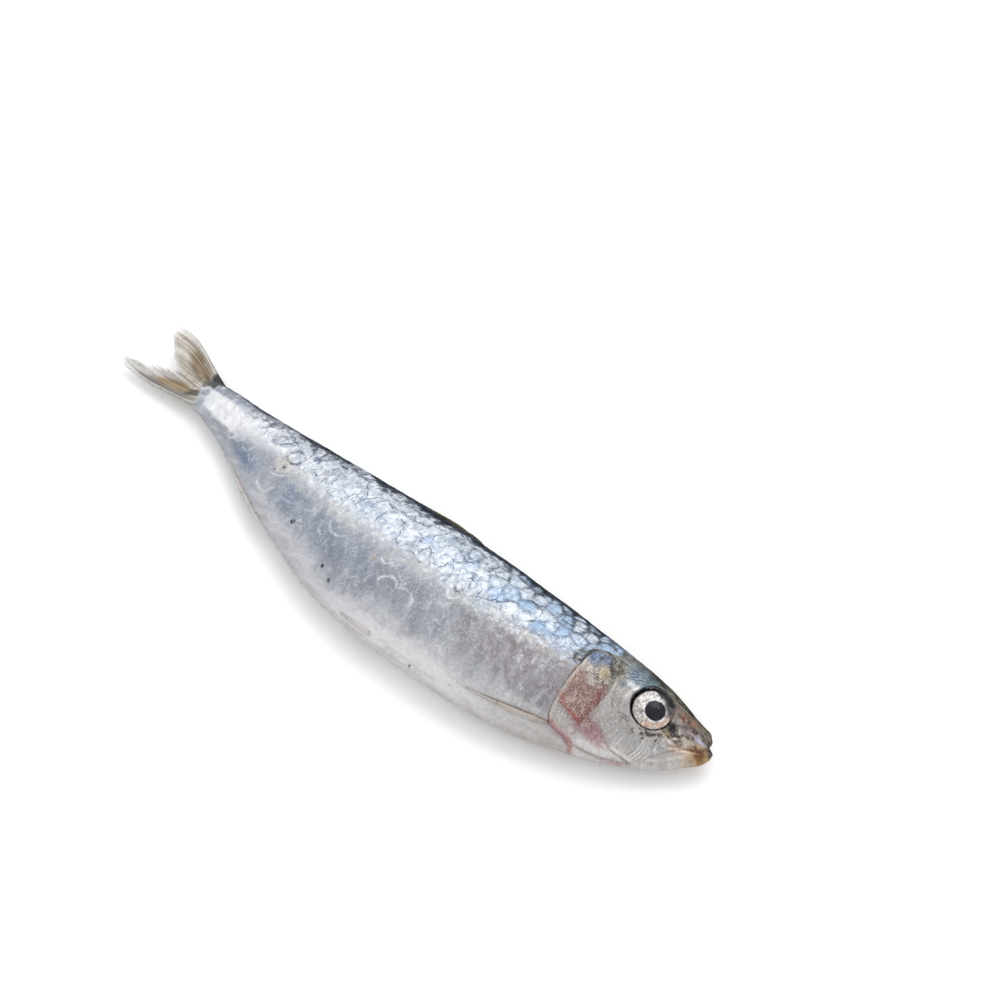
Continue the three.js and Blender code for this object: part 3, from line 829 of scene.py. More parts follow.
# Patches of colour on the trunk: x and share down, half widths along and down, colour and strength
TRUNK_PATCHES = (
    ((36, 0.60), (12, 0.15), (130, 115, 118), 0.75),
    ((29, 0.64), (3, 0.16), (156, 152, 166), 0.6),
    ((37, 0.43), (11, 0.06), (196, 188, 176), 0.5),
    ((54, 0.48), (12, 0.05), (192, 192, 186), 0.35),
    ((62, 0.66), (7, 0.12), (146, 148, 158), 0.5),
    ((78, 0.64), (7, 0.12), (142, 153, 171), 0.5),
    ((80, 0.50), (4.5, 0.06), (222, 219, 210), 0.5),
    ((92.5, 0.68), (5, 0.12), (136, 150, 172), 0.7),
    ((107.4, 0.77), (5, 0.13), (124, 142, 166), 0.9),
    ((98.9, 0.50), (2.2, 0.10), (228, 220, 202), 0.85),
    ((99.3, 0.70), (2.2, 0.08), (178, 174, 178), 0.6),
    ((70.1, 0.585), (0.7, 0.025), (204, 176, 142), 0.7),
    ((64.5, 0.24), (1, 0.07), (150, 180, 226), 0.6),
    ((79.5, 0.30), (2.6, 0.035), (116, 138, 176), 0.5),
    ((52.4, 0.31), (1.4, 0.025), (116, 142, 182), 0.6),
    ((34.2, 0.07), (1.5, 0.08), (150, 186, 236), 0.8),
    ((41, 0.18), (3.4, 0.09), (150, 184, 226), 0.5),
    ((31.5, 0.14), (2.5, 0.08), (160, 190, 224), 0.4),
    ((114, 0.80), (4, 0.08), (150, 148, 158), 0.6),
    ((125.2, 0.16), (1.7, 0.16), (44, 47, 50), 0.95),
    ((121.5, 0.10), (2.6, 0.08), (80, 86, 98), 0.7),
    ((80.5, 0.14), (2.6, 0.06), (222, 230, 240), 0.8),
    ((52, 0.42), (12, 0.07), (182, 185, 190), 0.5),
    ((32, 0.84), (6, 0.05), (202, 199, 198), 0.5),
    ((74, 0.17), (24, 0.08), (216, 227, 240), 0.6),
    ((80, 0.34), (7, 0.06), (180, 192, 208), 0.45),
    ((81, 0.48), (7, 0.05), (230, 232, 234), 0.4),
    ((31.5, 0.60), (6, 0.14), (122, 110, 114), 0.5),
    ((94.5, 0.77), (8, 0.09), (128, 141, 162), 0.5),
    ((108.5, 0.77), (5, 0.09), (104, 120, 144), 0.6),
    ((109, 0.54), (4, 0.04), (228, 230, 233), 0.5),
    ((117.5, 0.84), (4, 0.05), (130, 132, 140), 0.5),
)
# The same on the head, at x and height
HEAD_PATCHES = (
    ((4.6, -0.6), (4.4, 2.4), (128, 114, 104), 0.9),
    ((5.6, 0.4), (3.2, 1.2), (134, 104, 80), 0.8),
    ((3, -4.8), (3.4, 1.8), (184, 162, 134), 0.7),
    ((22.4, -3), (4.4, 3.4), (148, 142, 132), 0.6),
    ((18.6, 0.4), (3.6, 3.2), (122, 128, 128), 0.55),
    ((3.6, 1.6), (3.4, 0.9), (98, 92, 78), 0.85),
    ((10.5, 2.6), (4, 1), (92, 92, 78), 0.8),
    ((5.9, 0.55), (2.2, 0.8), (142, 74, 28), 0.92),
    ((6.5, 0.40), (1.2, 0.5), (84, 40, 16), 0.95),
    ((3.7, 0.60), (0.6, 0.30), (206, 168, 136), 0.8),
    ((5.2, -1.2), (1.1, 0.70), (120, 106, 112), 0.85),
    ((4, -0.5), (0.8, 0.5), (84, 70, 70), 0.85),
    ((2.7, -1.5), (1.1, 0.7), (166, 170, 192), 0.92),
    ((0.5, 0.3), (1.2, 1.6), (92, 84, 74), 0.85),
    ((0.2, -0.9), (0.9, 0.5), (50, 42, 36), 0.9),
    ((8.7, 0.3), (1.3, 1.7), (112, 98, 94), 0.95),
    ((7.1, -2.9), (0.9, 1.4), (36, 37, 40), 0.98),
    ((7, -3.4), (1.8, 1), (22, 23, 26), 0.98),
    ((8.1, -3.9), (0.8, 0.7), (30, 30, 33), 0.95),
    ((5.2, -3), (1.4, 0.7), (150, 140, 112), 0.7),
    ((7, -4.4), (1.1, 0.8), (150, 138, 104), 0.75),
    ((8.9, -6.6), (1.6, 0.6), (146, 140, 122), 0.6),
    ((6.5, -4.4), (0.7, 0.3), (180, 136, 84), 0.7),
    ((7.7, -5.4), (0.5, 0.3), (168, 112, 74), 0.7),
    ((5.8, -5.1), (0.8, 0.5), (218, 215, 214), 0.7),
    ((7.2, -7.2), (0.6, 0.4), (126, 132, 142), 0.6),
    ((1.9, -3.4), (1.7, 1.7), (158, 120, 72), 0.92),
    ((0.6, -2.2), (1, 1), (168, 142, 92), 0.9),
    ((1.9, -3.2), (0.6, 0.6), (100, 62, 36), 0.7),
    ((17.2, 0.6), (3.4, 2.4), (92, 114, 134), 0.9),
    ((15.2, 1.4), (1.9, 1.2), (74, 106, 118), 0.7),
    # A painted highlight: the white patch behind the eye
    ((16.8, -1.6), (1.5, 0.8), (226, 230, 236), 0.8),
    ((18.6, -2.8), (0.6, 0.5), (84, 92, 110), 0.8),
    ((19.9, -1.2), (0.9, 1.6), (128, 128, 112), 0.6),
    ((21, -1.3), (1.7, 2), (92, 92, 72), 0.9),
    ((23.6, -4.6), (2.6, 1.6), (160, 150, 142), 0.6),
    ((25.4, -2.2), (2, 1.7), (66, 84, 120), 0.95),
    ((23.6, -1.1), (1.8, 1.2), (76, 88, 116), 0.9),
    ((22.3, -3.7), (1.2, 1.4), (172, 154, 108), 0.75),
    ((20.7, -5.4), (0.7, 0.6), (60, 50, 38), 0.8),
    ((21.9, -6.2), (0.5, 0.35), (84, 68, 54), 0.7),
    ((17.2, -13), (2.7, 1.7), (148, 106, 112), 0.8),
    ((20.4, -14.4), (2, 0.9), (164, 140, 142), 0.5),
    ((28, -4.1), (0.8, 0.8), (62, 60, 46), 0.8),
    ((28, -2.2), (0.9, 0.6), (88, 86, 68), 0.6),
)
# Places with fine dark freckles: x and height, half widths, and how thinly they lie
FRECKLES = (
    ((21.2, -1.4), (2, 2.2), 0.52), ((22, -4.6), (1.6, 1.8), 0.68), ((19.4, -2.4), (1.2, 2), 0.66),
    ((28, -3.4), (1, 1.6), 0.60), ((9.8, -6.9), (3, 0.5), 0.56), ((6.4, -4), (2.2, 1), 0.60),
    ((24.6, -1.6), (2.2, 1.4), 0.56), ((7.2, -2.2), (1.2, 1.2), 0.55), ((1.8, -2.8), (1.6, 1), 0.62),
    ((5.6, 0.8), (2.8, 1), 0.62), ((12, 2.4), (4, 1), 0.62),
)


class Ground:
    """The skin's own colour at each of its points, in the picture's values, laid in layers"""

    def __init__(self, skin):
        self.skin = skin
        self.x, self.down, self.height = skin.x, skin.down, skin.height
        self.behind = skin.x - skin.edge
        self.place = (skin.x, skin.arc + np.where(skin.right, 0, FLANK_SHIFT))
        self.broad = clouds(*self.place, 8, 2, 1)
        self.bent = self.bend(self.place, 1.1, 2.1, 40)
        self.fine = clouds(*self.bent, 1.3, 3, 2)
        self.tiny = clouds(*self.bent, 0.65, 2, 3)
        self.uneven = self.down + 0.04 * (self.fine - 0.5) + 0.06 * (self.broad - 0.5)
        ragged = fall(self.down, 0.10, 0.20)
        nape = self.behind + ragged * (5.0 * (self.fine - 0.5) + 4.0 * (self.broad - 0.5))
        self.trunk = step(nape, 0.2, 1.2 + 0.8 * ragged)
        self.head = 1 - self.trunk
        self.red = np.zeros(skin.x.shape)
        self.colour = np.zeros((*skin.x.shape, 3))

    def bend(self, places, reach, size, seed):
        """Two places of each point, pushed about unevenly"""
        return [p + reach * (clouds(*self.place, size, 2, seed + k) - 0.5) for k, p in enumerate(places)]

    @staticmethod
    def between(first, second, share):
        """A colour on its way from the first to the second"""
        return np.array(first, float) + share[..., None] * (np.array(second, float) - first)

    def grainy(self, colour, fine, tiny=0):
        """A colour with light and dark grain: how strong the fine and the tiny one are"""
        grain = fine * (self.fine - 0.5) + tiny * (self.tiny - 0.5)
        return np.array(colour, float) + grain[..., None]

    def lay(self, colour, share):
        share = np.clip(share, 0, 1)[..., None]
        self.colour = self.colour * (1 - share) + np.asarray(colour, float) * share

    def mottle(self, ground, where, *tones):
        """Tones that come with a ground: colour, the values at which each starts and is full, strength"""
        for colour, start, full, strength in tones:
            self.lay(colour, strength * where * step(ground, start, full))

    def along(self, *stops):
        """A colour that changes along the body, from pairs of x and colour"""
        at, colours = zip(*stops)
        return np.stack([np.interp(self.x, at, channel) for channel in zip(*colours)], -1)

    def oval(self, x, across, centre, size):
        """How far inside a soft patch with an uneven edge each point lies"""
        far = np.hypot((x - centre[0]) / size[0], (across - centre[1]) / size[1])
        return step(1.3 - far + 0.5 * (self.fine - 0.5), 0.0, 0.9)

    def lay_trunk(self):
        """The flank, the paler belly, and a band of silver above, which pales before the tail, with a broad
        painted highlight over it there
        """
        self.colour = self.along(
            (28, (138, 132, 135)), (50, (148, 149, 157)), (80, (148, 158, 174)), (108, (164, 171, 182)),
            (120, (204, 206, 212)),
        )
        belly = self.along(
            (24, (188, 184, 182)), (46, (226, 225, 226)), (62, (228, 227, 230)), (85, (200, 201, 207)),
            (118, (170, 173, 184)),
        )
        band = self.along(
            (27, (182, 188, 199)), (52, (206, 214, 224)), (80, (212, 219, 228)), (112, (238, 239, 242)),
        )
        self.lay(belly, step(self.uneven, 0.72, 0.92))
        low = 0.41 + 0.08 * step(self.x, 60, 95) + 0.20 * step(self.x, 98, 118)
        self.lay(band, fall(self.uneven - low, -0.10, 0.09))
        # A broad painted highlight over the flank before the tail, and a fainter one above it
        white = hump(self.x, 108, 116, 122, 126) * hump(self.uneven, 0.40, 0.56, 0.72, 0.82)
        self.lay((268, 270, 275), 0.92 * white)
        bright = hump(self.x, 107, 113, 122, 126) * hump(self.uneven, 0.28, 0.38, 0.50, 0.62)
        self.lay((252, 252, 254), 0.90 * bright)

    def lay_patches(self, patches, across, grain):
        for centre, size, colour, strength in patches:
            share = strength * self.oval(self.x, across, centre, size)
            self.lay(self.grainy(colour, 0.5 * grain, grain), share)

    def lay_facet_glints(self):
        """Painted glints and dull reflections of crumpled silver on the upper flank"""
        upper = self.trunk * fall(self.uneven, 0.36, 0.54) * (1 - 0.7 * step(self.x, 100, 116))
        x, across = self.bend(self.place, 1.4, 2.4, 4)
        for pitch, strength, seed in ((2.4, 0.45, 20), (1.1, 0.35, 30)):
            tall = pitch / 0.8
            _, _, tone = cells(x / pitch, across / tall, pitch, tall, 0.9, seed)
            # bright facets are painted glints, dull ones painted dull reflections
            bright = ((248, 251, 255), 0.55, 0.95, strength)
            dull = ((150, 163, 182), 0.40, 0.02, strength)
            self.mottle(tone, upper, bright, dull)
        self.mottle(self.fine, upper, ((168, 180, 198), 0.45, 0.2, 0.4))

    def lay_scales(self):
        """Blue-white scales with dark gaps in front, which part into islands up the dark back"""
        gap, tone = self.skin.scale_gap, self.skin.scale_tone
        front = self.trunk * fall(self.x, 42, 64)
        own = self.grainy(self.between((222, 232, 243), (150, 184, 219), step(tone, 0.25, 0.95)), 26, 50)
        # Each scale darker towards its edge: painted shade of its rounded face
        own = own * (1 - 0.16 * fall(gap, 0.1, 0.8))[..., None]
        self.lay(own, front * fall(self.uneven, 0.28, 0.40) * 0.8)
        wide = 0.40 * fall(self.down, 0.02, 0.13) + 0.10 * step(self.broad, 0.45, 0.65)
        dark = fall(gap + 0.5 * (self.fine - 0.5) - wide, 0.02, 0.20)
        ink = self.between((40, 50, 62), (102, 118, 140), step(self.uneven, 0.10, 0.24))
        patchy = 0.25 + 0.75 * step(clouds(*self.place, 3.4, 2, 7), 0.35, 0.6)
        faint = 0.85 * front + 0.30 * self.trunk * fall(self.x, 64, 100)
        self.lay(ink, dark * fall(self.uneven, 0.26, 0.42) * patchy * faint)

    def lay_blotches(self):
        """Dark blotches that thin out down from the back, and softer ones near the tail"""
        blotch = clouds(*self.bent, 1.3, 3, 11)
        lower = 0.17 + 0.13 * step(self.x, 84, 94)
        ink = self.between((34, 44, 58), (104, 120, 146), step(self.down, 0.06, 0.24))
        where = self.trunk * fall(self.x, 99, 108) * (0.5 + 0.5 * step(self.x, 40, 60))
        self.lay(ink, 0.9 * where * step(blotch - 0.24 - 0.62 * self.down / lower, 0.0, 0.08))
        dashes = clouds(self.bent[0] * 0.6, self.bent[1] * 1.2, 0.6, 2, 53)
        high = hump(self.down, 0.04, 0.06, 0.10, 0.17) * hump(self.x, 44, 60, 96, 102)
        self.mottle(dashes, high, ((42, 52, 68), 0.58, 0.66, 0.8))

    def lay_tail_blotches(self):
        soft = clouds(self.place[0], self.place[1] * 0.7, 1.1, 3, 12)
        tail = self.trunk * step(self.x, 99, 106)
        self.lay((168, 174, 186), 0.85 * tail * fall(self.uneven, 0.16, 0.34))
        dark = tail * step(soft - 0.26 - 1.0 * self.down, -0.05, 0.12) * fall(self.down, 0.24, 0.36)
        self.lay((100, 105, 118), (0.75 - 0.25 * step(self.x, 110, 116)) * dark)
        self.mottle(soft, tail * fall(self.down, 0.2, 0.4), ((236, 240, 246), 0.52, 0.25, 0.8))
        self.lay((160, 168, 182), 0.5 * step(self.x, 110, 116) * hump(self.uneven, 0.12, 0.18, 0.24, 0.32))

    def lay_back(self):
        """The dark line of the back, with lighter flecks in it"""
        thinner = 0.03 * step(self.x, 111, 117) + 0.018 * fall(self.x, 50, 66)
        wide = 0.025 * step(self.x, 85, 94) - thinner
        back = fall(self.uneven - wide, 0.055, 0.085)
        tone = self.along(
            (20, (36, 34, 28)), (40, (24, 28, 34)), (95, (18, 26, 36)), (108, (44, 46, 54)),
            (118, (82, 84, 92)),
        )
        self.lay(tone, 0.96 * back)
        self.mottle(self.tiny, back, ((92, 106, 124), 0.60, 0.85, 0.6))

    def lay_lower_flank(self):
        """Uneven silver with strands, and a cream veil over its upper border"""
        lower = self.trunk * hump(self.uneven, 0.44, 0.54, 0.84, 0.92) * (1 - 0.6 * step(self.x, 98, 106))
        self.mottle(self.broad, lower, ((186, 188, 196), 0.5, 0.8, 0.35), ((138, 138, 150), 0.5, 0.2, 0.35))
        cream = self.trunk * hump(self.x, 46, 76, 92, 102) * hump(self.uneven, 0.38, 0.44, 0.52, 0.62)
        self.lay((211, 211, 212), 0.45 * cream)
        self.mottle(self.fine, cream, ((226, 220, 208), 0.50, 0.8, 0.5))
        self.mottle(self.tiny, cream, ((172, 174, 178), 0.45, 0.2, 0.35))
        veil = clouds(self.bent[0], self.bent[1] * 0.3, 1.7, 3, 17)
        self.mottle(veil, lower, ((196, 199, 206), 0.5, 0.9, 0.50), ((130, 136, 150), 0.45, 0.1, 0.35))
        strands = clouds(self.bent[0] - 0.5 * self.height, 0.2 * self.height, 0.8, 3, 52)
        self.mottle(strands, lower, ((216, 219, 224), 0.62, 0.85, 0.26), ((134, 138, 150), 0.36, 0.15, 0.20))

    def lay_muscle_bands(self):
        bend = 7 * np.abs(self.down - 0.62)
        wave = np.sin(2.9 * (self.x + bend + 2.0 * (self.broad - 0.5) + 1.2 * (self.fine - 0.5)))
        banded = hump(self.x, 64, 72, 84, 90) * hump(self.down, 0.48, 0.56, 0.76, 0.84)
        self.mottle(wave, banded, ((126, 138, 156), -0.2, 0.9, 0.30))

    def lay_belly(self):
        """Long streaks, and the shaded keel"""
        streaks = clouds(self.place[0] * 0.2, self.place[1], 0.9, 3, 13)
        belly = self.trunk * step(self.uneven, 0.80, 0.90)
        self.mottle(streaks, belly, ((232, 230, 230), 0.55, 0.8, 0.30), ((176, 170, 170), 0.45, 0.2, 0.30))
        self.lay((150, 140, 134), 0.25 * self.trunk * step(self.down, 0.965, 0.995))

    def lay_tail_root(self):
        """The silver ends raggedly where the tail begins"""
        end = step(self.x + 3.0 * (self.fine - 0.5), 128.2, 128.9)
        self.lay(self.grainy((84, 84, 74), 0, 50), end)

    def lay_head(self):
        """Grey silver with fine pale and dark lines, and dark along the crown"""
        self.lay((172, 169, 167), self.head)
        self.lay((210, 205, 204), self.head * step(self.uneven, 0.78, 0.93) * 0.7)
        self.lay((94, 94, 84), 0.85 * self.head * fall(self.uneven, 0.10, 0.22))
        self.lay((158, 158, 156), 0.5 * self.oval(self.x, self.height, (11.6, -9.6), (2.6, 2.0)))
        streaks = clouds(self.bent[0] - 0.3 * self.height, 0.25 * (self.height + 0.3 * self.x), 0.7, 3, 14)
        self.mottle(
            streaks, self.head, ((222, 220, 220), 0.56, 0.85, 0.24), ((124, 119, 118), 0.44, 0.12, 0.24),
        )
        self.lay((38, 36, 30), 0.92 * self.head * fall(self.uneven, 0.05, 0.13))

    def lay_gill_cover(self):
        """The red that shows through the gill cover"""
        top, bottom = (np.interp(self.x, *np.transpose(line)) for line in (BLOOD_TOP, BLOOD_BOTTOM))
        wander = 1.2 * (self.fine - 0.5)
        along = step(self.x + wander, 19.2, 20.2) * fall(self.behind, -0.75, -0.45)
        across = fall(self.height - top + wander, -0.5, 0.4) * step(self.height - bottom, -0.1, 0.2)
        self.red = along * across
        self.lay(self.grainy((140, 107, 101), 44), 0.9 * self.red)
        self.mottle(self.tiny, self.red, ((212, 196, 190), 0.60, 0.85, 0.5), ((122, 74, 70), 0.42, 0.15, 0.5))
        for line, width, colour, strength in BLOOD_LINES:
            distance, _ = self.skin.near(line)
            self.lay(colour, strength * bell(distance, width) * (0.35 + 0.65 * step(self.fine, 0.25, 0.55)))

    def lay_freckles(self):
        dots = clouds(*self.place, 0.75, 2, 15)
        for centre, size, least in FRECKLES:
            inside = self.oval(self.x, self.height, centre, size)
            self.mottle(dots, inside, ((40, 38, 30), least, least + 0.12, 0.8))

    def lay_head_lines(self):
        """Fine lines of the jaws, the cheek and the snout, worn here and there"""
        worn = self.head * (0.45 + 0.55 * step(clouds(*self.place, 0.9, 2, 51), 0.3, 0.55))
        for points, width, colour, strength, *bundle in HEAD_LINES:
            copies, shift = bundle or (1, (0, 0))
            for copy in range(copies):
                distance, share = self.skin.near(np.array(points) + copy * np.array(shift))
                ends = hump(share, -0.02, 0.12, 0.88, 1.02)
                self.lay(colour, strength * worn * ends * bell(distance, width))
        dark, _ = self.skin.near(UNDER_EYE)
        self.mottle(self.tiny, bell(dark, 0.30), ((54, 44, 32), 0.42, 0.55, 0.95))
        pale, _ = self.skin.near(np.array(UNDER_EYE) - (0, 0.5))
        self.mottle(self.tiny, bell(pale, 0.26), ((206, 200, 190), 0.55, 0.4, 0.7))

    def lay_marks(self):
        """Bright and dark curved lines where scales came off, and specks"""
        x, height = self.bend((self.x, self.height), 0.5, 1.6, 16)
        worn = 0.6 + 0.4 * step(self.tiny, 0.3, 0.6)
        for group, colour in ((ARCS, (244, 245, 248)), (DARK_ARCS, (44, 50, 60))):
            for at, down, radius, start, end, strength in group:
                dx, dy = x - at, height - height_at(at, down)
                middle, half = math.radians((start + end) / 2), math.radians((end - start) / 2)
                off = np.abs(np.mod(np.arctan2(dy, dx) - middle + np.pi, 2 * np.pi) - np.pi)
                line = bell(np.hypot(dx, dy) - radius, 0.21) * fall(off, half * 0.9, half * 1.2)
                self.lay(colour, strength * line * worn)
        for at, down, radius in SPECKS:
            far = np.hypot(x - at, height - height_at(at, down)) + 0.3 * (self.tiny - 0.5)
            self.lay((34, 30, 26), fall(far, radius * 0.8, radius * 1.4 + 0.1))

    def lay_lines(self):
        """Painted shade in the head's creases and in the gap behind the gill cover, with the gill's red where
        the gap turns forward, and a painted shadow over the gill cover's top
        """
        # Painted shade in the creases, the mouth's line and the nostril
        self.lay((74, 64, 58), 0.85 * self.skin.groove_shade)
        rim = hump(self.behind, -0.55, -0.35, -0.1, 0.05) * step(self.down, 0.26, 0.36)
        self.lay((204, 192, 180), rim * (0.3 + 0.5 * step(self.fine, 0.35, 0.55)))
        # Painted shade in the gap, giving way to the gill's own red where it turns forward
        strength = 0.9 - 0.65 * hump(self.down, 0.45, 0.6, 0.80, 0.86)
        gap = self.between((50, 40, 38), (150, 76, 74), step(self.down, 0.82, 0.88))
        self.lay(gap, strength * step(self.skin.slit_shade_and_red, 0.3, 0.8))
        # A painted shadow along the top of the gill cover's edge
        dome, _ = self.skin.near(DOME_SHADOW)
        self.lay((13, 13, 16), 0.96 * fall(dome, 0.16, 0.38))
        throat, _ = self.skin.near(THROAT)
        self.lay((160, 96, 96), 0.7 * bell(throat, 0.45))

    def lay_mouth(self):
        """The open mouth's black line, which is painted shade inside it, with a dark ring round its corner"""
        # Painted shade inside the open mouth
        mouth_shade = hump(self.height, -1.25, -1.05, -0.75, -0.55) * fall(self.x, 0.5, 1.3)
        self.lay((12, 10, 10), self.head * mouth_shade)
        corner = np.hypot(self.x - 0.5, self.height + 1.5)
        self.lay((46, 38, 32), self.head * bell(corner - 0.55, 0.16))
        self.lay((14, 12, 12), self.head * fall(corner, 0.20, 0.38))

    def lay_eye_shade(self):
        """Painted shade round the eye, wide above it, with a bare place in it towards the snout, and painted
        shade on the socket's rim
        """
        x, height = self.x - EYE_ALONG, self.height - EYE_HEIGHT
        far = np.hypot(x, height)
        bare = step((BARE_UP * height - BARE_AHEAD * x) / far, *BARE_BORDER)
        lid_shade = far - 0.55 * step(height - 0.1 * x, 1.4, 4.0) + 0.2 * (self.fine - 0.5)
        self.lay((18, 19, 22), 0.96 * (1 - bare) * fall(lid_shade, 3.85, 4.15))
        # Painted shade on the socket's rim
        rim = fall(far, SOCKET_RADIUS - 0.02, SOCKET_RADIUS + 0.16)
        self.lay((16, 15, 16), (1 - 0.9 * bare) * rim)

    def finish(self):
        """The colour in Blender's values"""
        self.lay_trunk()
        self.lay_patches(TRUNK_PATCHES, self.down, 16)
        self.lay_lower_flank()
        self.lay_muscle_bands()
        self.lay_belly()
        self.lay_facet_glints()
        self.lay_scales()
        self.lay_blotches()
        self.lay_tail_blotches()
        self.lay_back()
        self.lay_tail_root()
        self.lay_head()
        self.lay_patches(HEAD_PATCHES, self.height, 64)
        self.lay_gill_cover()
        self.lay_freckles()
        self.lay_head_lines()
        self.lay_marks()
        self.lay_lines()
        self.lay_mouth()
        self.lay_eye_shade()
        return linear(np.clip(self.colour, 0, 285)) * UNDER_LIGHT


def skin_masks(skin, ground):
    """Where the finest layers lie, as two vectors: the crumpled silver's painted glints, cracks and pale
    hairs; then the gill cover's striae, the crown's ridges and the gloss"""
    x, uneven, trunk = skin.x, ground.uneven, ground.trunk
    upper = fall(uneven, 0.36, 0.56)
    scaly = fall(x, 42, 60) * fall(uneven, 0.26, 0.38)
    silver = trunk * (0.25 + 0.75 * upper) * (1 - 0.6 * step(x, 100, 116)) * step(uneven, 0.07, 0.12)
    silver = silver * (1 - 0.45 * scaly)
    cracked = trunk * hump(uneven, 0.03, 0.08, 0.36, 0.48) * (1 - 0.7 * step(x, 106, 120))
    head = ground.head * step(uneven, 0.08, 0.2) * (1.2 - 0.3 * fall(x, 7, 11))
    head = head * step(skin.eye_distance, 4.2, 5.0)
    haired = np.maximum(0.8 * trunk * hump(uneven, 0.38, 0.48, 0.84, 0.92), head)
    cover = hump(ground.behind, -7.2, -6.0, -0.8, -0.4) * hump(skin.down, 0.30, 0.40, 0.74, 0.80)
    crown = ground.oval(x, skin.height, (17.2, 0.8), (2.9, 2.0))
    gloss = step(uneven, 0.04, 0.14) * (1 - 0.6 * step(uneven, 0.7, 0.9)) * (1 - 0.6 * ground.red)
    return np.stack((silver, cracked, haired), -1), np.stack((cover, crown, gloss), -1)


# Broken dark lines on the upper flank: scale, thinness, colour, how much of them shows, and strength
CRACKS = (
    (0.36, 0.050, (40, 52, 74), 0.50, 0.90),
    (0.62, 0.060, (58, 72, 98), 0.50, 0.80),
    (1.15, 0.100, (92, 108, 134), 0.48, 0.60),
)


def lay_cracks(paint, place, bent, cracked):
    across = paint.stretch(bent, (1.0, 0.55, 1.0))
    for scale, thin, tone, low, share in CRACKS:
        shown = paint.rise(paint.noise(place, scale * 0.7), low, low + 0.07)
        paint.lay(tone, paint.crackle(across, scale, thin), cracked, shown, share)


def lay_hairs(paint, place, haired, headed):
    """Pale wandering hairs on the trunk, dark veins, and the head's fine strands"""
    hairs = paint.threads(paint.warp(place, 0.5, 2.4), 0.45, 0.028, 3.0)
    shown = paint.times(haired, paint.less(headed), paint.rise(paint.noise(place, 0.3), 0.42, 0.58))
    paint.lay((218, 219, 223), hairs, shown, 0.5)
    veins = paint.threads(paint.warp(place, 0.8, 1.6), 0.6, 0.02, 3.0)
    paint.lay((88, 82, 80), veins, paint.rise(paint.noise(place, 0.5), 0.46, 0.60), haired, 0.40)
    strand = paint.noise(paint.stretch(place, (3.6, 1.0, 1.0)), 1.1, 3.0, 0.6)
    paint.mottle(strand, (headed,), ((232, 230, 230), 0.52, 0.70, 0.16), ((98, 92, 90), 0.48, 0.30, 0.14))


def lay_ridges(paint, fine, grain, cover, crown):
    """Striae that fan out over the gill cover, with specks, and the crown's ridges"""
    flank = paint.vector("flank_mm")
    striae = paint.fan(flank, (21.6, 0.6), 2.2, fine)
    paint.lay((96, 70, 66), paint.rise(striae, 0.1, 0.8), cover, paint.rise(fine, 0.35, 0.6, 0.15, 0.5))
    paint.mottle(striae, (cover,), ((196, 184, 178), -0.3, -0.9, 0.16))
    ridges = paint.stripes(flank, (0.55, 0.84), 0.58, fine)
    paint.mottle(ridges, (crown,), ((36, 46, 58), 0.1, 0.9, 0.62), ((158, 172, 184), -0.4, -0.9, 0.35))
    paint.mottle(grain, (cover,), ((204, 190, 184), 0.56, 0.64, 0.4))


def skin_material():
    """The colour laid at the skin's points, and over it what is finer than they are"""
    paint = Paint("skin_silver")
    paint.colour = paint.vector("skin_colour")
    place = paint.vector("skin_mm")
    bent = paint.warp(place, 0.55, 1.4)
    silver, cracked, haired = paint.split(paint.vector("skin_masks"))
    cover, crown, gloss = paint.split(paint.vector("head_masks"))
    fine = paint.noise(place, 0.7, 4.0, 0.6)
    grain = paint.noise(place, 2.6, 3.0, 0.65)
    foil = paint.noise(bent, 1.1, 3.0, 0.6)
    facet = paint.cell_tone(bent, 1.4)
    # Painted glints and dull reflections of the crumpled silver, by facets and by foil
    paint.mottle(facet, (silver,), ((224, 231, 240), 0.6, 1.0, 0.35), ((124, 140, 164), 0.4, 0.0, 0.22))
    paint.mottle(foil, (silver,), ((227, 233, 241), 0.54, 0.70, 0.50), ((92, 110, 138), 0.46, 0.30, 0.30))
    lay_cracks(paint, place, bent, cracked)
    lay_hairs(paint, place, haired, paint.rise(haired, 0.85, 1.15))
    grained = paint.rise(haired, 0.8, 1.2, 0.18, 0.30)
    paint.lay((228, 227, 227), paint.rise(grain, 0.54, 0.72), gloss, grained)
    paint.lay((76, 74, 76), paint.rise(grain, 0.46, 0.28), grained)
    lay_ridges(paint, fine, grain, cover, crown)
    height = paint.add(paint.times(grain, 0.4), paint.times(foil, 0.9))
    height = paint.add(height, paint.times(facet, 0.3))
    rough = paint.add(paint.rise(fine, 0.3, 0.7, 0.12, 0.27), paint.rise(gloss, 0, 1, 0.45, 0.18))
    paint.set(
        Base_Color=paint.colour, Roughness=rough, Metallic=paint.times(gloss, 0.45),
        Specular_IOR_Level=paint.rise(gloss, 0.0, 0.6, 0.03, 0.28),
        Coat_Weight=paint.times(gloss, 0.2), Coat_Roughness=0.16,
        Normal=paint.bump(height, 0.00012, 0.6),
    )
    return paint.material


def add_skin():
    skin = Skin()
    points = skin.points()
    ground = Ground(skin)
    colour = ground.finish()
    skin_mask, head_mask = skin_masks(skin, ground)
    flat = np.zeros(skin.x.shape)
    vectors = {
        "skin_mm": np.stack((skin.x, np.where(skin.right, skin.arc, -skin.arc), flat), -1),
        "flank_mm": np.stack((skin.x, skin.height, flat), -1),
        "skin_colour": colour, "skin_masks": skin_mask, "head_masks": head_mask,
    }
    thing = make_object(
        "skin", with_caps(in_frame(points)), tube_faces(*flat.shape), skin_material(),
        vectors={key: with_caps(values) for key, values in vectors.items()},
    )
    add_bake_map(thing, *flat.shape)
    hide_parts("body")


# The eyes

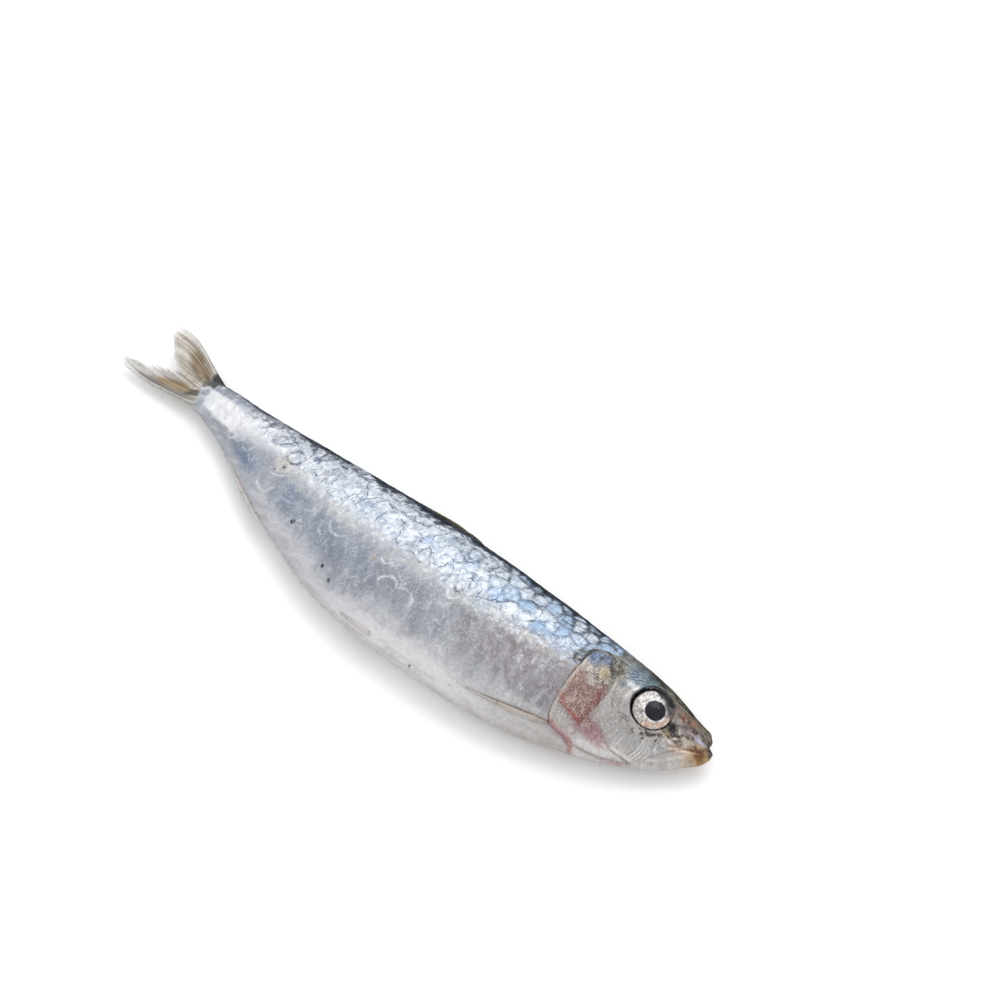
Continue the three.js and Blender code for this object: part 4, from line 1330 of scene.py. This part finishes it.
PUPIL_RADIUS = 1.85
PUPIL_FORWARD = 0.5  # how far the pupil lies towards the snout from the iris's middle
PUPIL_DEPTH = 0.22
IRIS_RADIUS = 3.8
IRIS_BULGE = 1.55
CORNEA_THICKNESS = 0.1
ROUND_EYE = 96


def eye_axes(side):
    """The eye's forward, upward and outward directions. side is 1 for the right eye and -1 for the left."""
    flat = side * math.cos(EYE_TURN)
    out = np.array((math.sin(EYE_TURN), -flat * math.sin(LEAN), flat * math.cos(LEAN)))
    forward = unit(np.array((1.0, 0.0, 0.0)) - out * out[0])
    return forward, side * np.cross(out, forward), out


def add_eye_form(name, side, outline, material):
    """A round form about the eye's axis. outline is rows of radius, height and shift towards the snout."""
    forward, up, out = eye_axes(side)
    radius, height, shift = (np.array(outline)[:, k, None] for k in range(3))
    angle = np.linspace(0, 2 * np.pi, ROUND_EYE, endpoint=False)[None, :]
    across = radius * np.cos(angle) + shift
    above = radius * np.sin(angle)
    centre = lying(EYE_ALONG, EYE_HEIGHT, EYE_STAND * side)
    points = centre + sum(part[..., None] * axis for part, axis in ((across, forward), (above, up)))
    points = points + height[..., None] * out
    faces = tube_faces(len(outline), ROUND_EYE)
    if side < 0:
        faces = [face[::-1] for face in faces]
    seen = np.broadcast_to(radius, across.shape)
    flat = np.stack((across, above, seen), -1)
    thing = make_object(
        name, with_caps(in_frame(points)), faces, material,
        {"radius": with_caps(seen), "above": with_caps(above), "ahead": with_caps(across)},
        {"eye_mm": with_caps(flat)},
    )
    return thing


def round_height(radius, bulge, wide):
    """Height of a dome at a radius: bulge in its middle and 0 at its rim"""
    return bulge * math.sqrt(max(1 - (radius / wide) ** 2, 0))


def iris_outline():
    """From the pupil's middle over the iris to its rim, and closed behind"""
    def dome(radius):
        return round_height(radius, IRIS_BULGE, EYE_RADIUS + 0.02)
    sunk = dome(PUPIL_RADIUS) - PUPIL_DEPTH
    lens = [(r, sunk + 0.14 * (1 - (r / PUPIL_RADIUS) ** 2)) for r in spread(0.05, 1.72, 0.2)]
    lip = [(r, dome(r) + rise) for r, rise in ((1.82, -0.13), (1.88, -0.03), (1.98, 0.04), (2.15, 0.03))]
    iris = [(r, dome(r)) for r in spread(2.3, 4.0, 0.09)]
    behind = [(4.08, 0.05), (3.8, -0.5), (2.6, -1.1), (0.05, -1.3)]
    rows = lens + lip + iris + behind
    return [(r, h, PUPIL_FORWARD * float(fall(r, 1.9, IRIS_RADIUS))) for r, h in rows]


def cornea_outline():
    """A thin clear shell: out along its top and back along its underside"""
    rim, thin = EYE_RADIUS - 0.04, CORNEA_THICKNESS
    top = [(r, round_height(r, EYE_BULGE, rim)) for r in spread(0.05, 3.98, 0.16)]
    below = [(r, round_height(r, EYE_BULGE - thin, EYE_RADIUS - thin)) for r in spread(0.05, 3.92, 0.16)]
    return [(r, h, 0.0) for r, h in top + below[::-1]]


def iris_material():
    """Cream silver with a peach flush round a dark pupil, with painted shade from the lid over its upper side
    and rim
    """
    paint = Paint("eye_iris")
    place = paint.vector("eye_mm")
    radius, above, ahead = (paint.field(name) for name in ("radius", "above", "ahead"))
    soft, fine = paint.noise(place, 0.45, 3.0), paint.noise(place, 1.6, 4.0, 0.65)
    uneven = paint.add(radius, paint.times(paint.add(fine, -0.5), 0.45))
    paint.colour = paint.over((210, 207, 205), (160, 154, 151), paint.rise(fine, 0.52, 0.36, 0.0, 0.8))
    low_ahead = paint.rise(paint.add(ahead, paint.times(above, -0.7)), 0.6, 2.6)
    flush = paint.times(low_ahead, paint.rise(radius, 2.0, 2.6))
    paint.lay((208, 172, 150), flush, paint.rise(soft, 0.3, 0.5), 0.85)
    paint.lay((248, 248, 247), paint.rise(fine, 0.57, 0.64, 0.0, 0.7))
    paint.lay((248, 246, 243), paint.hump(uneven, 1.85, 1.95, 2.1, 2.4), 0.8)
    smudge = paint.spot(ahead, above, (-1.4, -1.6), (0.7, 0.55))
    paint.lay((60, 56, 54), smudge, paint.rise(fine, 0.4, 0.55), 0.8)
    streaks = paint.noise(paint.stretch(place, (2.2, 0.8, 1.0)), 1.3, 3.0, 0.6)
    paint.lay((140, 133, 130), paint.rise(streaks, 0.48, 0.62, 0.0, 0.85))
    # Painted shade from the lid over the iris's upper side
    shade = paint.rise(paint.add(paint.times(ahead, 0.55), paint.times(above, 0.83)), 1.5, 2.9)
    paint.lay((70, 68, 72), shade, paint.rise(soft, 0.3, 0.55, 0.6, 1.0))
    paint.lay((118, 106, 100), paint.rise(uneven, 3.4, 3.75))
    # Painted shade: black over the iris's rim and under the brow, browner where the rim is bare
    brow_shadow = paint.add(paint.add(above, paint.times(ahead, 0.22)), paint.times(paint.add(soft, fine), 0.5))
    lid_shade = paint.math("MAXIMUM", paint.rise(uneven, 3.56, 3.74), paint.rise(brow_shadow, 3.15, 3.45))
    towards = paint.add(paint.times(ahead, BARE_AHEAD), paint.times(above, BARE_UP))
    bare = paint.rise(paint.math("DIVIDE", towards, radius), *BARE_BORDER)
    paint.lay(paint.over((20, 19, 21), (96, 86, 84), bare), lid_shade)
    pupil = paint.over((6, 7, 12), (26, 32, 50), paint.rise(soft, 0.45, 0.65))
    paint.lay(pupil, paint.rise(uneven, 1.96, 1.8))
    paint.set(
        Base_Color=paint.colour, Metallic=paint.times(paint.hump(radius, 1.9, 2.2, 3.4, 3.7), 0.3),
        Roughness=0.4, Specular_IOR_Level=0.12,
        Normal=paint.bump(paint.add(fine, paint.times(soft, 0.5)), 0.00006, 0.5),
    )
    return paint.material


def cornea_material():
    """Clear and wet: what lies behind shows through, and only the gloss is its own"""
    paint = Paint("eye_cornea")
    tree = paint.tree
    clear = paint.node("ShaderNodeBsdfTransparent")
    gloss = paint.node("ShaderNodeBsdfGlossy", {"Roughness": 0.04})
    edge = paint.node("ShaderNodeFresnel", {"IOR": 1.22})
    inner = paint.fall(paint.field("radius"), 2.8, 3.5)
    mix = paint.node("ShaderNodeMixShader", {0: paint.times(edge.outputs[0], inner)})
    tree.links.new(clear.outputs[0], mix.inputs[1])
    tree.links.new(gloss.outputs[0], mix.inputs[2])
    tree.links.new(mix.outputs[0], tree.nodes["Material Output"].inputs["Surface"])
    tree.nodes.remove(paint.shader)
    return paint.material


def add_eyes():
    iris, cornea = iris_material(), cornea_material()
    for word, side in (("right", 1), ("left", -1)):
        ball = add_eye_form(f"iris_{word}", side, iris_outline(), iris)
        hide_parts(f"eye_{word}")
        add_eye_form(f"cornea_{word}", side, cornea_outline(), cornea)


# The fins

COLUMNS_PER_RAY = 8
ROOT_SUNK = 0.12  # how deep the root of a fin on a flank lies in the skin


# Each fin's sheet: the number of rays, steps along them, the half thickness at root and tip, how deep the
# edge is torn between two rays, how much the rays differ in length, and the seed of those differences
SHEETS = {
    "tail_upper": (12, 72, 0.50, 0.09, 0.13, 0.05, 1),
    "tail_lower": (12, 72, 0.50, 0.09, 0.13, 0.05, 2),
    "back": (12, 40, 0.35, 0.14, 0.05, 0.1, 3),
    "anal": (14, 24, 0.28, 0.10, 0.05, 0.1, 4),
    "chest": (5, 40, 0.15, 0.06, 0.08, 0.2, 5),
    "belly": (6, 24, 0.14, 0.06, 0.05, 0.2, 6),
}


def add_fin(name, node, sheet, surface, material, forks=2.0, under=None, tint=None):
    """A ribbed sheet in place of a node. surface gives points for a share across the rays and a share along
    them; forks is the share at which the rays fork, if that is under 1; under, if given, the half thickness
    of what the fin's root covers; and tint the colour."""
    rays, steps, root, tip, torn, differing, seed = SHEETS[sheet]
    across = np.linspace(0, 1, rays * COLUMNS_PER_RAY + 1)[None, :]
    along = np.linspace(0, 1, steps)[:, None]
    number = np.round(across * rays)
    rib = 0.5 + 0.5 * np.cos(2 * np.pi * across * rays)
    forked = 0.5 + 0.5 * np.cos(4 * np.pi * across * rays + np.pi)
    split = step(along, forks - 0.15, forks + 0.1)
    ribs = (rib * (1 - split) + forked * split) ** 1.5
    longer = 1 - differing * chance(number, seed, 4)
    gap = torn * (0.5 + chance(np.floor(across * rays * 2), seed, 5))
    share = along * longer * (1 - gap * (1 - np.where(forks < 1, forked, rib)))
    across, share, ribs = np.broadcast_arrays(across, share, ribs)
    points = surface(across, share)
    normal = unit(np.cross(np.gradient(points, axis=0), np.gradient(points, axis=1)))
    half = (root + (tip - root) * np.sqrt(along)) * (0.35 + 0.65 * ribs)
    if under:
        half = np.hypot(half * step(along, 0.0, 0.12), under(across, share))
    offset = normal * half[..., None]
    both = np.concatenate((points + offset, points - offset))
    fields = {"ray": ribs, "reach": share, "across": across}
    vectors = {}
    if tint:
        vectors["fin_colour"] = np.tile(linear(tint(across, share, ribs)) * UNDER_LIGHT, (2, 1, 1))
    twice = {key: np.tile(values, (2, 1)) for key, values in fields.items()}
    thing = make_object(name, in_frame(both), sheet_faces(*share.shape), material, twice, vectors)
    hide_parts(node)


# The tail's lobes: height of the root, and reach and height of the tip, behind the tail's root; and how far
# the lobe's outer edge bows
ROOT_START = -2.5
FORK_REACH = 8.7
FORK_HEIGHT = 1.0
LOBES = {
    "upper": (4.0, 17.5, 9.6, 1.7),
    "lower": (-3.0, 22.2, -3.2, -1.3),
}


def tail_places(lobe, across, along):
    root_height, tip_reach, tip_height, bow = LOBES[lobe]
    flip = math.copysign(1, root_height)
    reach = tip_reach + (FORK_REACH - tip_reach) * across ** 1.4
    x = BODY_LENGTH + ROOT_START + (reach - ROOT_START) * along
    tip = tip_height + (FORK_HEIGHT - tip_height) * across
    root = root_height * (1 - across) - 0.2 * flip * across
    height = root + (tip - root) * along + bow * np.sin(np.pi * along ** 1.6) * (1 - across)
    ripple = 0.3 * np.sin(2.4 * np.pi * across + 2.0 * along + flip) * along
    return x, height, ripple + 0.9 * along ** 2 * (0.4 + flip * 0.2)


def tail_surface(lobe):
    return lambda across, along: lying(*tail_places(lobe, across, along))


def under_tail(lobe):
    """Half the body's thickness under the root of the tail, which the root covers"""
    def half(across, along):
        x, height, _ = tail_places(lobe, across, along)
        back, belly, wide, _ = profile(x)
        middle = (back + belly) / 2 + FULLNESS * (back - belly)
        up = np.clip((height - middle) / np.where(height > middle, back - middle, middle - belly), -1, 1)
        cover = 0.27 * step(x, 123.5, 125.5) - 0.17
        return np.maximum(wide * round_off((BODY_END - x) / ROOT_ROUND) * np.sqrt(1 - up ** 2) + cover, 0)
    return half


# The tail's colours on each lobe: middle across and along, half widths, colour and strength
TAIL_STAINS = {
    "upper": (
        ((0.45, 0.5), (0.34, 0.24), (124, 102, 72), 0.9),
        ((0.2, 0.8), (0.25, 0.25), (196, 184, 166), 0.8),
        ((0.7, 0.85), (0.5, 0.22), (214, 206, 194), 0.9),
        ((0.0, 0.55), (0.15, 0.6), (206, 203, 198), 0.95),
        ((0.75, 0.25), (0.35, 0.07), (84, 78, 62), 0.8),
    ),
    "lower": (
        ((0.20, 0.45), (0.20, 0.4), (150, 148, 140), 0.85),
        ((0.55, 0.50), (0.30, 0.22), (158, 134, 98), 0.9),
        ((0.60, 0.90), (0.8, 0.24), (226, 223, 218), 0.9),
        ((0.0, 0.6), (0.13, 0.7), (208, 206, 202), 0.9),
        ((0.75, 0.24), (0.40, 0.09), (74, 70, 58), 0.9),
    ),
}


def tail_tint(lobe):
    """Silver over the root, then the stains of the webs, with darker lines between the rays"""
    def tint(across, along, ribs):
        x, height, _ = tail_places(lobe, across, along)
        soft = clouds(x, height, 1.6, 3, 21)
        colour = np.zeros((*x.shape, 3)) + (190, 182, 170)
        for centre, size, stain, strength in TAIL_STAINS[lobe]:
            far = np.hypot((across - centre[0]) / size[0], (along - centre[1]) / size[1])
            share = strength * step(1.3 - far + 0.5 * (soft - 0.5), 0.0, 0.8)
            colour += share[..., None] * (stain - colour)
        threads = clouds(across * 30, along * 2.2, 1.0, 2, 22)
        lines = np.cos(2 * np.pi * (across * 30 + 0.5 * soft))
        colour += (30 * (ribs - 0.5) + 105 * (threads - 0.5) + 24 * lines)[..., None]
        silver = fall(x + 2.6 * (soft - 0.5) + 0.12 * np.abs(height), 126.6, 127.6)
        shine = np.array((190, 196, 204.0)) + 90 * (clouds(x, height, 1.1, 3, 23) - 0.5)[..., None]
        colour += silver[..., None] * (shine - colour)
        upper = step(height + 1.6 * (soft - 0.5), 1.4, 2.6)
        corner = 0.95 * upper * hump(x + 1.4 * (soft - 0.5), 121, 123.5, 126.5, 128)
        return np.clip(colour + corner[..., None] * (np.array((50, 52, 52.0)) - colour), 0, 255)
    return tint


# The folded fins on the back and the belly line: where the first ray starts, how long the fin's root is,
# how far the first ray reaches back, and by which share less the last one does
BACK_FIN = (55.5, 16.5, 12.5, 0.45)
ANAL_FIN = (94.5, 17.0, 6.5, 0.3)


def folded(fin, across, along):
    start, root, reach, less = fin
    return start + root * across + reach * (1 - less * across) * along


def back_fin_surface(across, along):
    x = folded(BACK_FIN, across, along)
    rise = 1.6 * (1.02 - across) ** 0.6 * np.sin(0.62 * np.pi * along ** 0.9) * (1 - 0.4 * along)
    return lying(x, profile(x)[0] - 0.5 + rise, 0.25 * np.sin(3 * np.pi * along) * along + 0.15)


def anal_fin_surface(across, along):
    x = folded(ANAL_FIN, across, along)
    rise = (1.05 - across) ** 0.5 * np.sin(0.6 * np.pi * along ** 0.7)
    return lying(x, profile(x)[1] + 0.35 - rise, 0.15 * np.sin(2 * np.pi * along) + 0.1)


def flank_fin_surface(start, end, down_start, down_end, width, side, stand):
    """A closed fan that lies on a flank, along the body. Its root is sunk into the skin."""
    def surface(across, along):
        x = start + (end - start) * along
        back, belly, _, _ = profile(x)
        wide = width * (0.35 + 0.65 * np.sin(np.pi * along ** 0.7)) * (1 - 0.8 * along ** 2)
        down = down_start + (down_end - down_start) * along + (across - 0.5) * 0.8 * wide / (back - belly)
        turn = turn_at(down)
        rise = stand + ROOT_SUNK + 0.2 * np.sin(np.pi * across)
        out = rise * step(along, 0, 0.18) - ROOT_SUNK
        return skin_at(x, turn if side > 0 else 1 - turn, out)
    return surface


def webbed(paint, fine, start, least, most, coat):
    """The material of a web that clears towards the fin's tip, between ribs that stay"""
    ribs = paint.rise(paint.field("ray"), 0.2, 0.9, 1.0, 0.35)
    thin = paint.times(paint.rise(paint.field("reach"), start, 1.0, least, most), ribs)
    paint.set(
        Base_Color=paint.colour, Roughness=0.42, Alpha=paint.less(thin), Coat_Weight=coat, Coat_Roughness=0.2,
        Normal=paint.bump(fine, 0.00005, 0.4),
    )
    return paint.material


def fin_material(name, web, rib, heart, heart_place, tip, clear):
    """A webbed fin: colours of web and ribs, a stained heart of it with its middle and half widths across and
    along, the tip, and how clear the web gets towards the tip"""
    paint = Paint(name)
    ray, reach, across = (paint.field(key) for key in ("ray", "reach", "across"))
    place = paint.node("ShaderNodeTexCoord").outputs["Object"]
    fine = paint.noise(place, 900.0, 3.0, 0.6)
    soft = paint.noise(place, 260.0, 3.0)
    paint.colour = paint.over(web, rib, ray)
    stain = paint.spot(across, reach, *heart_place, 0.45)
    paint.lay(heart, stain, paint.rise(soft, 0.25, 0.6, 0.35, 0.9))
    paint.lay(tip, paint.rise(reach, 0.6, 0.95))
    joints = paint.math("SINE", paint.times(reach, 190.0))
    paint.lay((96, 84, 66), paint.rise(joints, 0.2, 0.9), ray, 0.25)
    paint.lay((82, 74, 60), paint.rise(fine, 0.55, 0.75, 0.0, 0.5))
    return webbed(paint, fine, 0.35, 0.1, clear, 0.2)


def tail_material():
    """The laid colour, finely mottled"""
    paint = Paint("fin_tail")
    fine = paint.noise(paint.node("ShaderNodeTexCoord").outputs["Object"], 900.0, 3.0, 0.6)
    paint.colour = paint.vector("fin_colour")
    paint.lay((70, 64, 52), paint.rise(fine, 0.45, 0.25, 0.0, 0.35))
    return webbed(paint, fine, 0.45, 0.0, 0.6, 0.15)


# The fins' colours: web, ribs, stained heart, its middle and half widths across and along, tip, and clearness
FIN_COLOURS = {
    "fin_back": ((66, 62, 42), (150, 138, 92), (46, 46, 34), ((0.3, 0.5), (0.5, 0.3)), (124, 116, 82), 0.2),
    "fin_chest": (
        (188, 182, 178), (150, 138, 128), (104, 84, 68), ((0.05, 0.35), (0.16, 0.6)), (192, 188, 185), 0.35,
    ),
    "fin_belly": (
        (196, 193, 193), (206, 203, 202), (190, 185, 181), ((0.5, 0.3), (0.4, 0.3)), (204, 202, 202), 0.75,
    ),
}


def add_fins():
    tail = tail_material()
    dark, brown, pale = (fin_material(name, *colours) for name, colours in FIN_COLOURS.items())
    for lobe in LOBES:
        name = f"tail_{lobe}"
        add_fin(name, "tail_fin", name, tail_surface(lobe), tail, 0.5, under_tail(lobe), tail_tint(lobe))
    add_fin("back_rays", "dorsal_fin", "back", back_fin_surface, dark)
    add_fin("anal_rays", "anal_fin", "anal", anal_fin_surface, pale)
    for word, side, pushed in (("right", 1, 0.0), ("left", -1, 0.03)):
        chest = flank_fin_surface(24.6, 42.0, 0.87 + pushed, 0.905 + pushed, 1.35, side, 0.22)
        belly = flank_fin_surface(61.0, 70.5, 0.955, 0.965, 1.2, side, 0.05)
        add_fin(f"chest_rays_{word}", f"pectoral_fin_{word}", "chest", chest, brown)
        add_fin(f"belly_rays_{word}", f"pelvic_fin_{word}", "belly", belly, pale)


# The stage

CAMERA_AZIMUTH = math.radians(40)
CAMERA_ELEVATION = math.radians(56)
CAMERA_DISTANCE = 0.420
SENSOR = 36.0
PICTURE = 1000
FOCAL = 2213  # in pixels
AIM = (445.2, 556.1)  # where the camera's target lies in the picture
TARGET_HEIGHT = 6.0


def set_camera():
    """The photograph's view: the target lies off the middle, so the camera is turned a little from it"""
    azimuth, elevation = CAMERA_AZIMUTH, CAMERA_ELEVATION
    flat = math.cos(elevation)
    back = Vector((math.sin(azimuth) * flat, -math.cos(azimuth) * flat, math.sin(elevation)))
    right = Vector((math.cos(azimuth), math.sin(azimuth), 0))
    up = back.cross(right)
    target = Vector((SHIFT[0], SHIFT[1], TARGET_HEIGHT)) * MM
    aside = (PICTURE / 2 - AIM[0]) / FOCAL
    above = (AIM[1] - PICTURE / 2) / FOCAL
    looking = (-back + right * aside + up * above).normalized()
    turned = (-back).rotation_difference(looking)
    facing = turned @ Matrix((right, up, back)).transposed().to_quaternion()
    camera = bpy.data.objects.new("camera", bpy.data.cameras.new("camera"))
    camera.data.sensor_width = SENSOR
    camera.data.lens = FOCAL / PICTURE * SENSOR
    camera.data.clip_start = 0.01
    camera.location = target + back * CAMERA_DISTANCE
    camera.rotation_mode = "QUATERNION"
    camera.rotation_quaternion = facing
    bpy.context.scene.collection.objects.link(camera)
    bpy.context.scene.camera = camera


def add_light(name, place, size, power):
    """A lamp that shines on the middle of the fish"""
    light = bpy.data.lights.new(name, "AREA")
    light.shape = "RECTANGLE"
    light.size, light.size_y = size
    light.energy = power
    lamp = bpy.data.objects.new(name, light)
    lamp.location = place
    lamp.rotation_mode = "QUATERNION"
    lamp.rotation_quaternion = (-Vector(place)).to_track_quat("-Z", "Y")
    bpy.context.scene.collection.objects.link(lamp)


def set_lights():
    world = bpy.data.worlds.new("studio")
    bpy.context.scene.world = world
    world.use_nodes = True
    background = world.node_tree.nodes["Background"]
    background.inputs["Color"].default_value = (1, 1, 1, 1)
    background.inputs["Strength"].default_value = 1.0
    add_light("overhead", (-0.15, 0.45, 0.75), (0.9, 0.6), 3.2)
    add_light("front_fill", (0.35, -0.6, 0.5), (0.6, 0.4), 0.8)


def add_floor():
    reach, below = 3.0, -0.00005
    corners = [(-reach, -reach, below), (reach, -reach, below), (reach, reach, below), (-reach, reach, below)]
    paint = Paint("floor_white")
    paint.set(Base_Color=(0.92, 0.92, 0.92, 1), Roughness=0.9)
    mesh = bpy.data.meshes.new("floor")
    mesh.from_pydata(corners, [], [(0, 1, 2, 3)])
    mesh.materials.append(paint.material)
    floor = bpy.data.objects.new("floor", mesh)
    bpy.context.scene.collection.objects.link(floor)


def main():
    bpy.context.scene.view_settings.view_transform = "Standard"
    set_camera()
    set_lights()
    add_floor()
    add_skin()
    add_eyes()
    add_fins()


main()
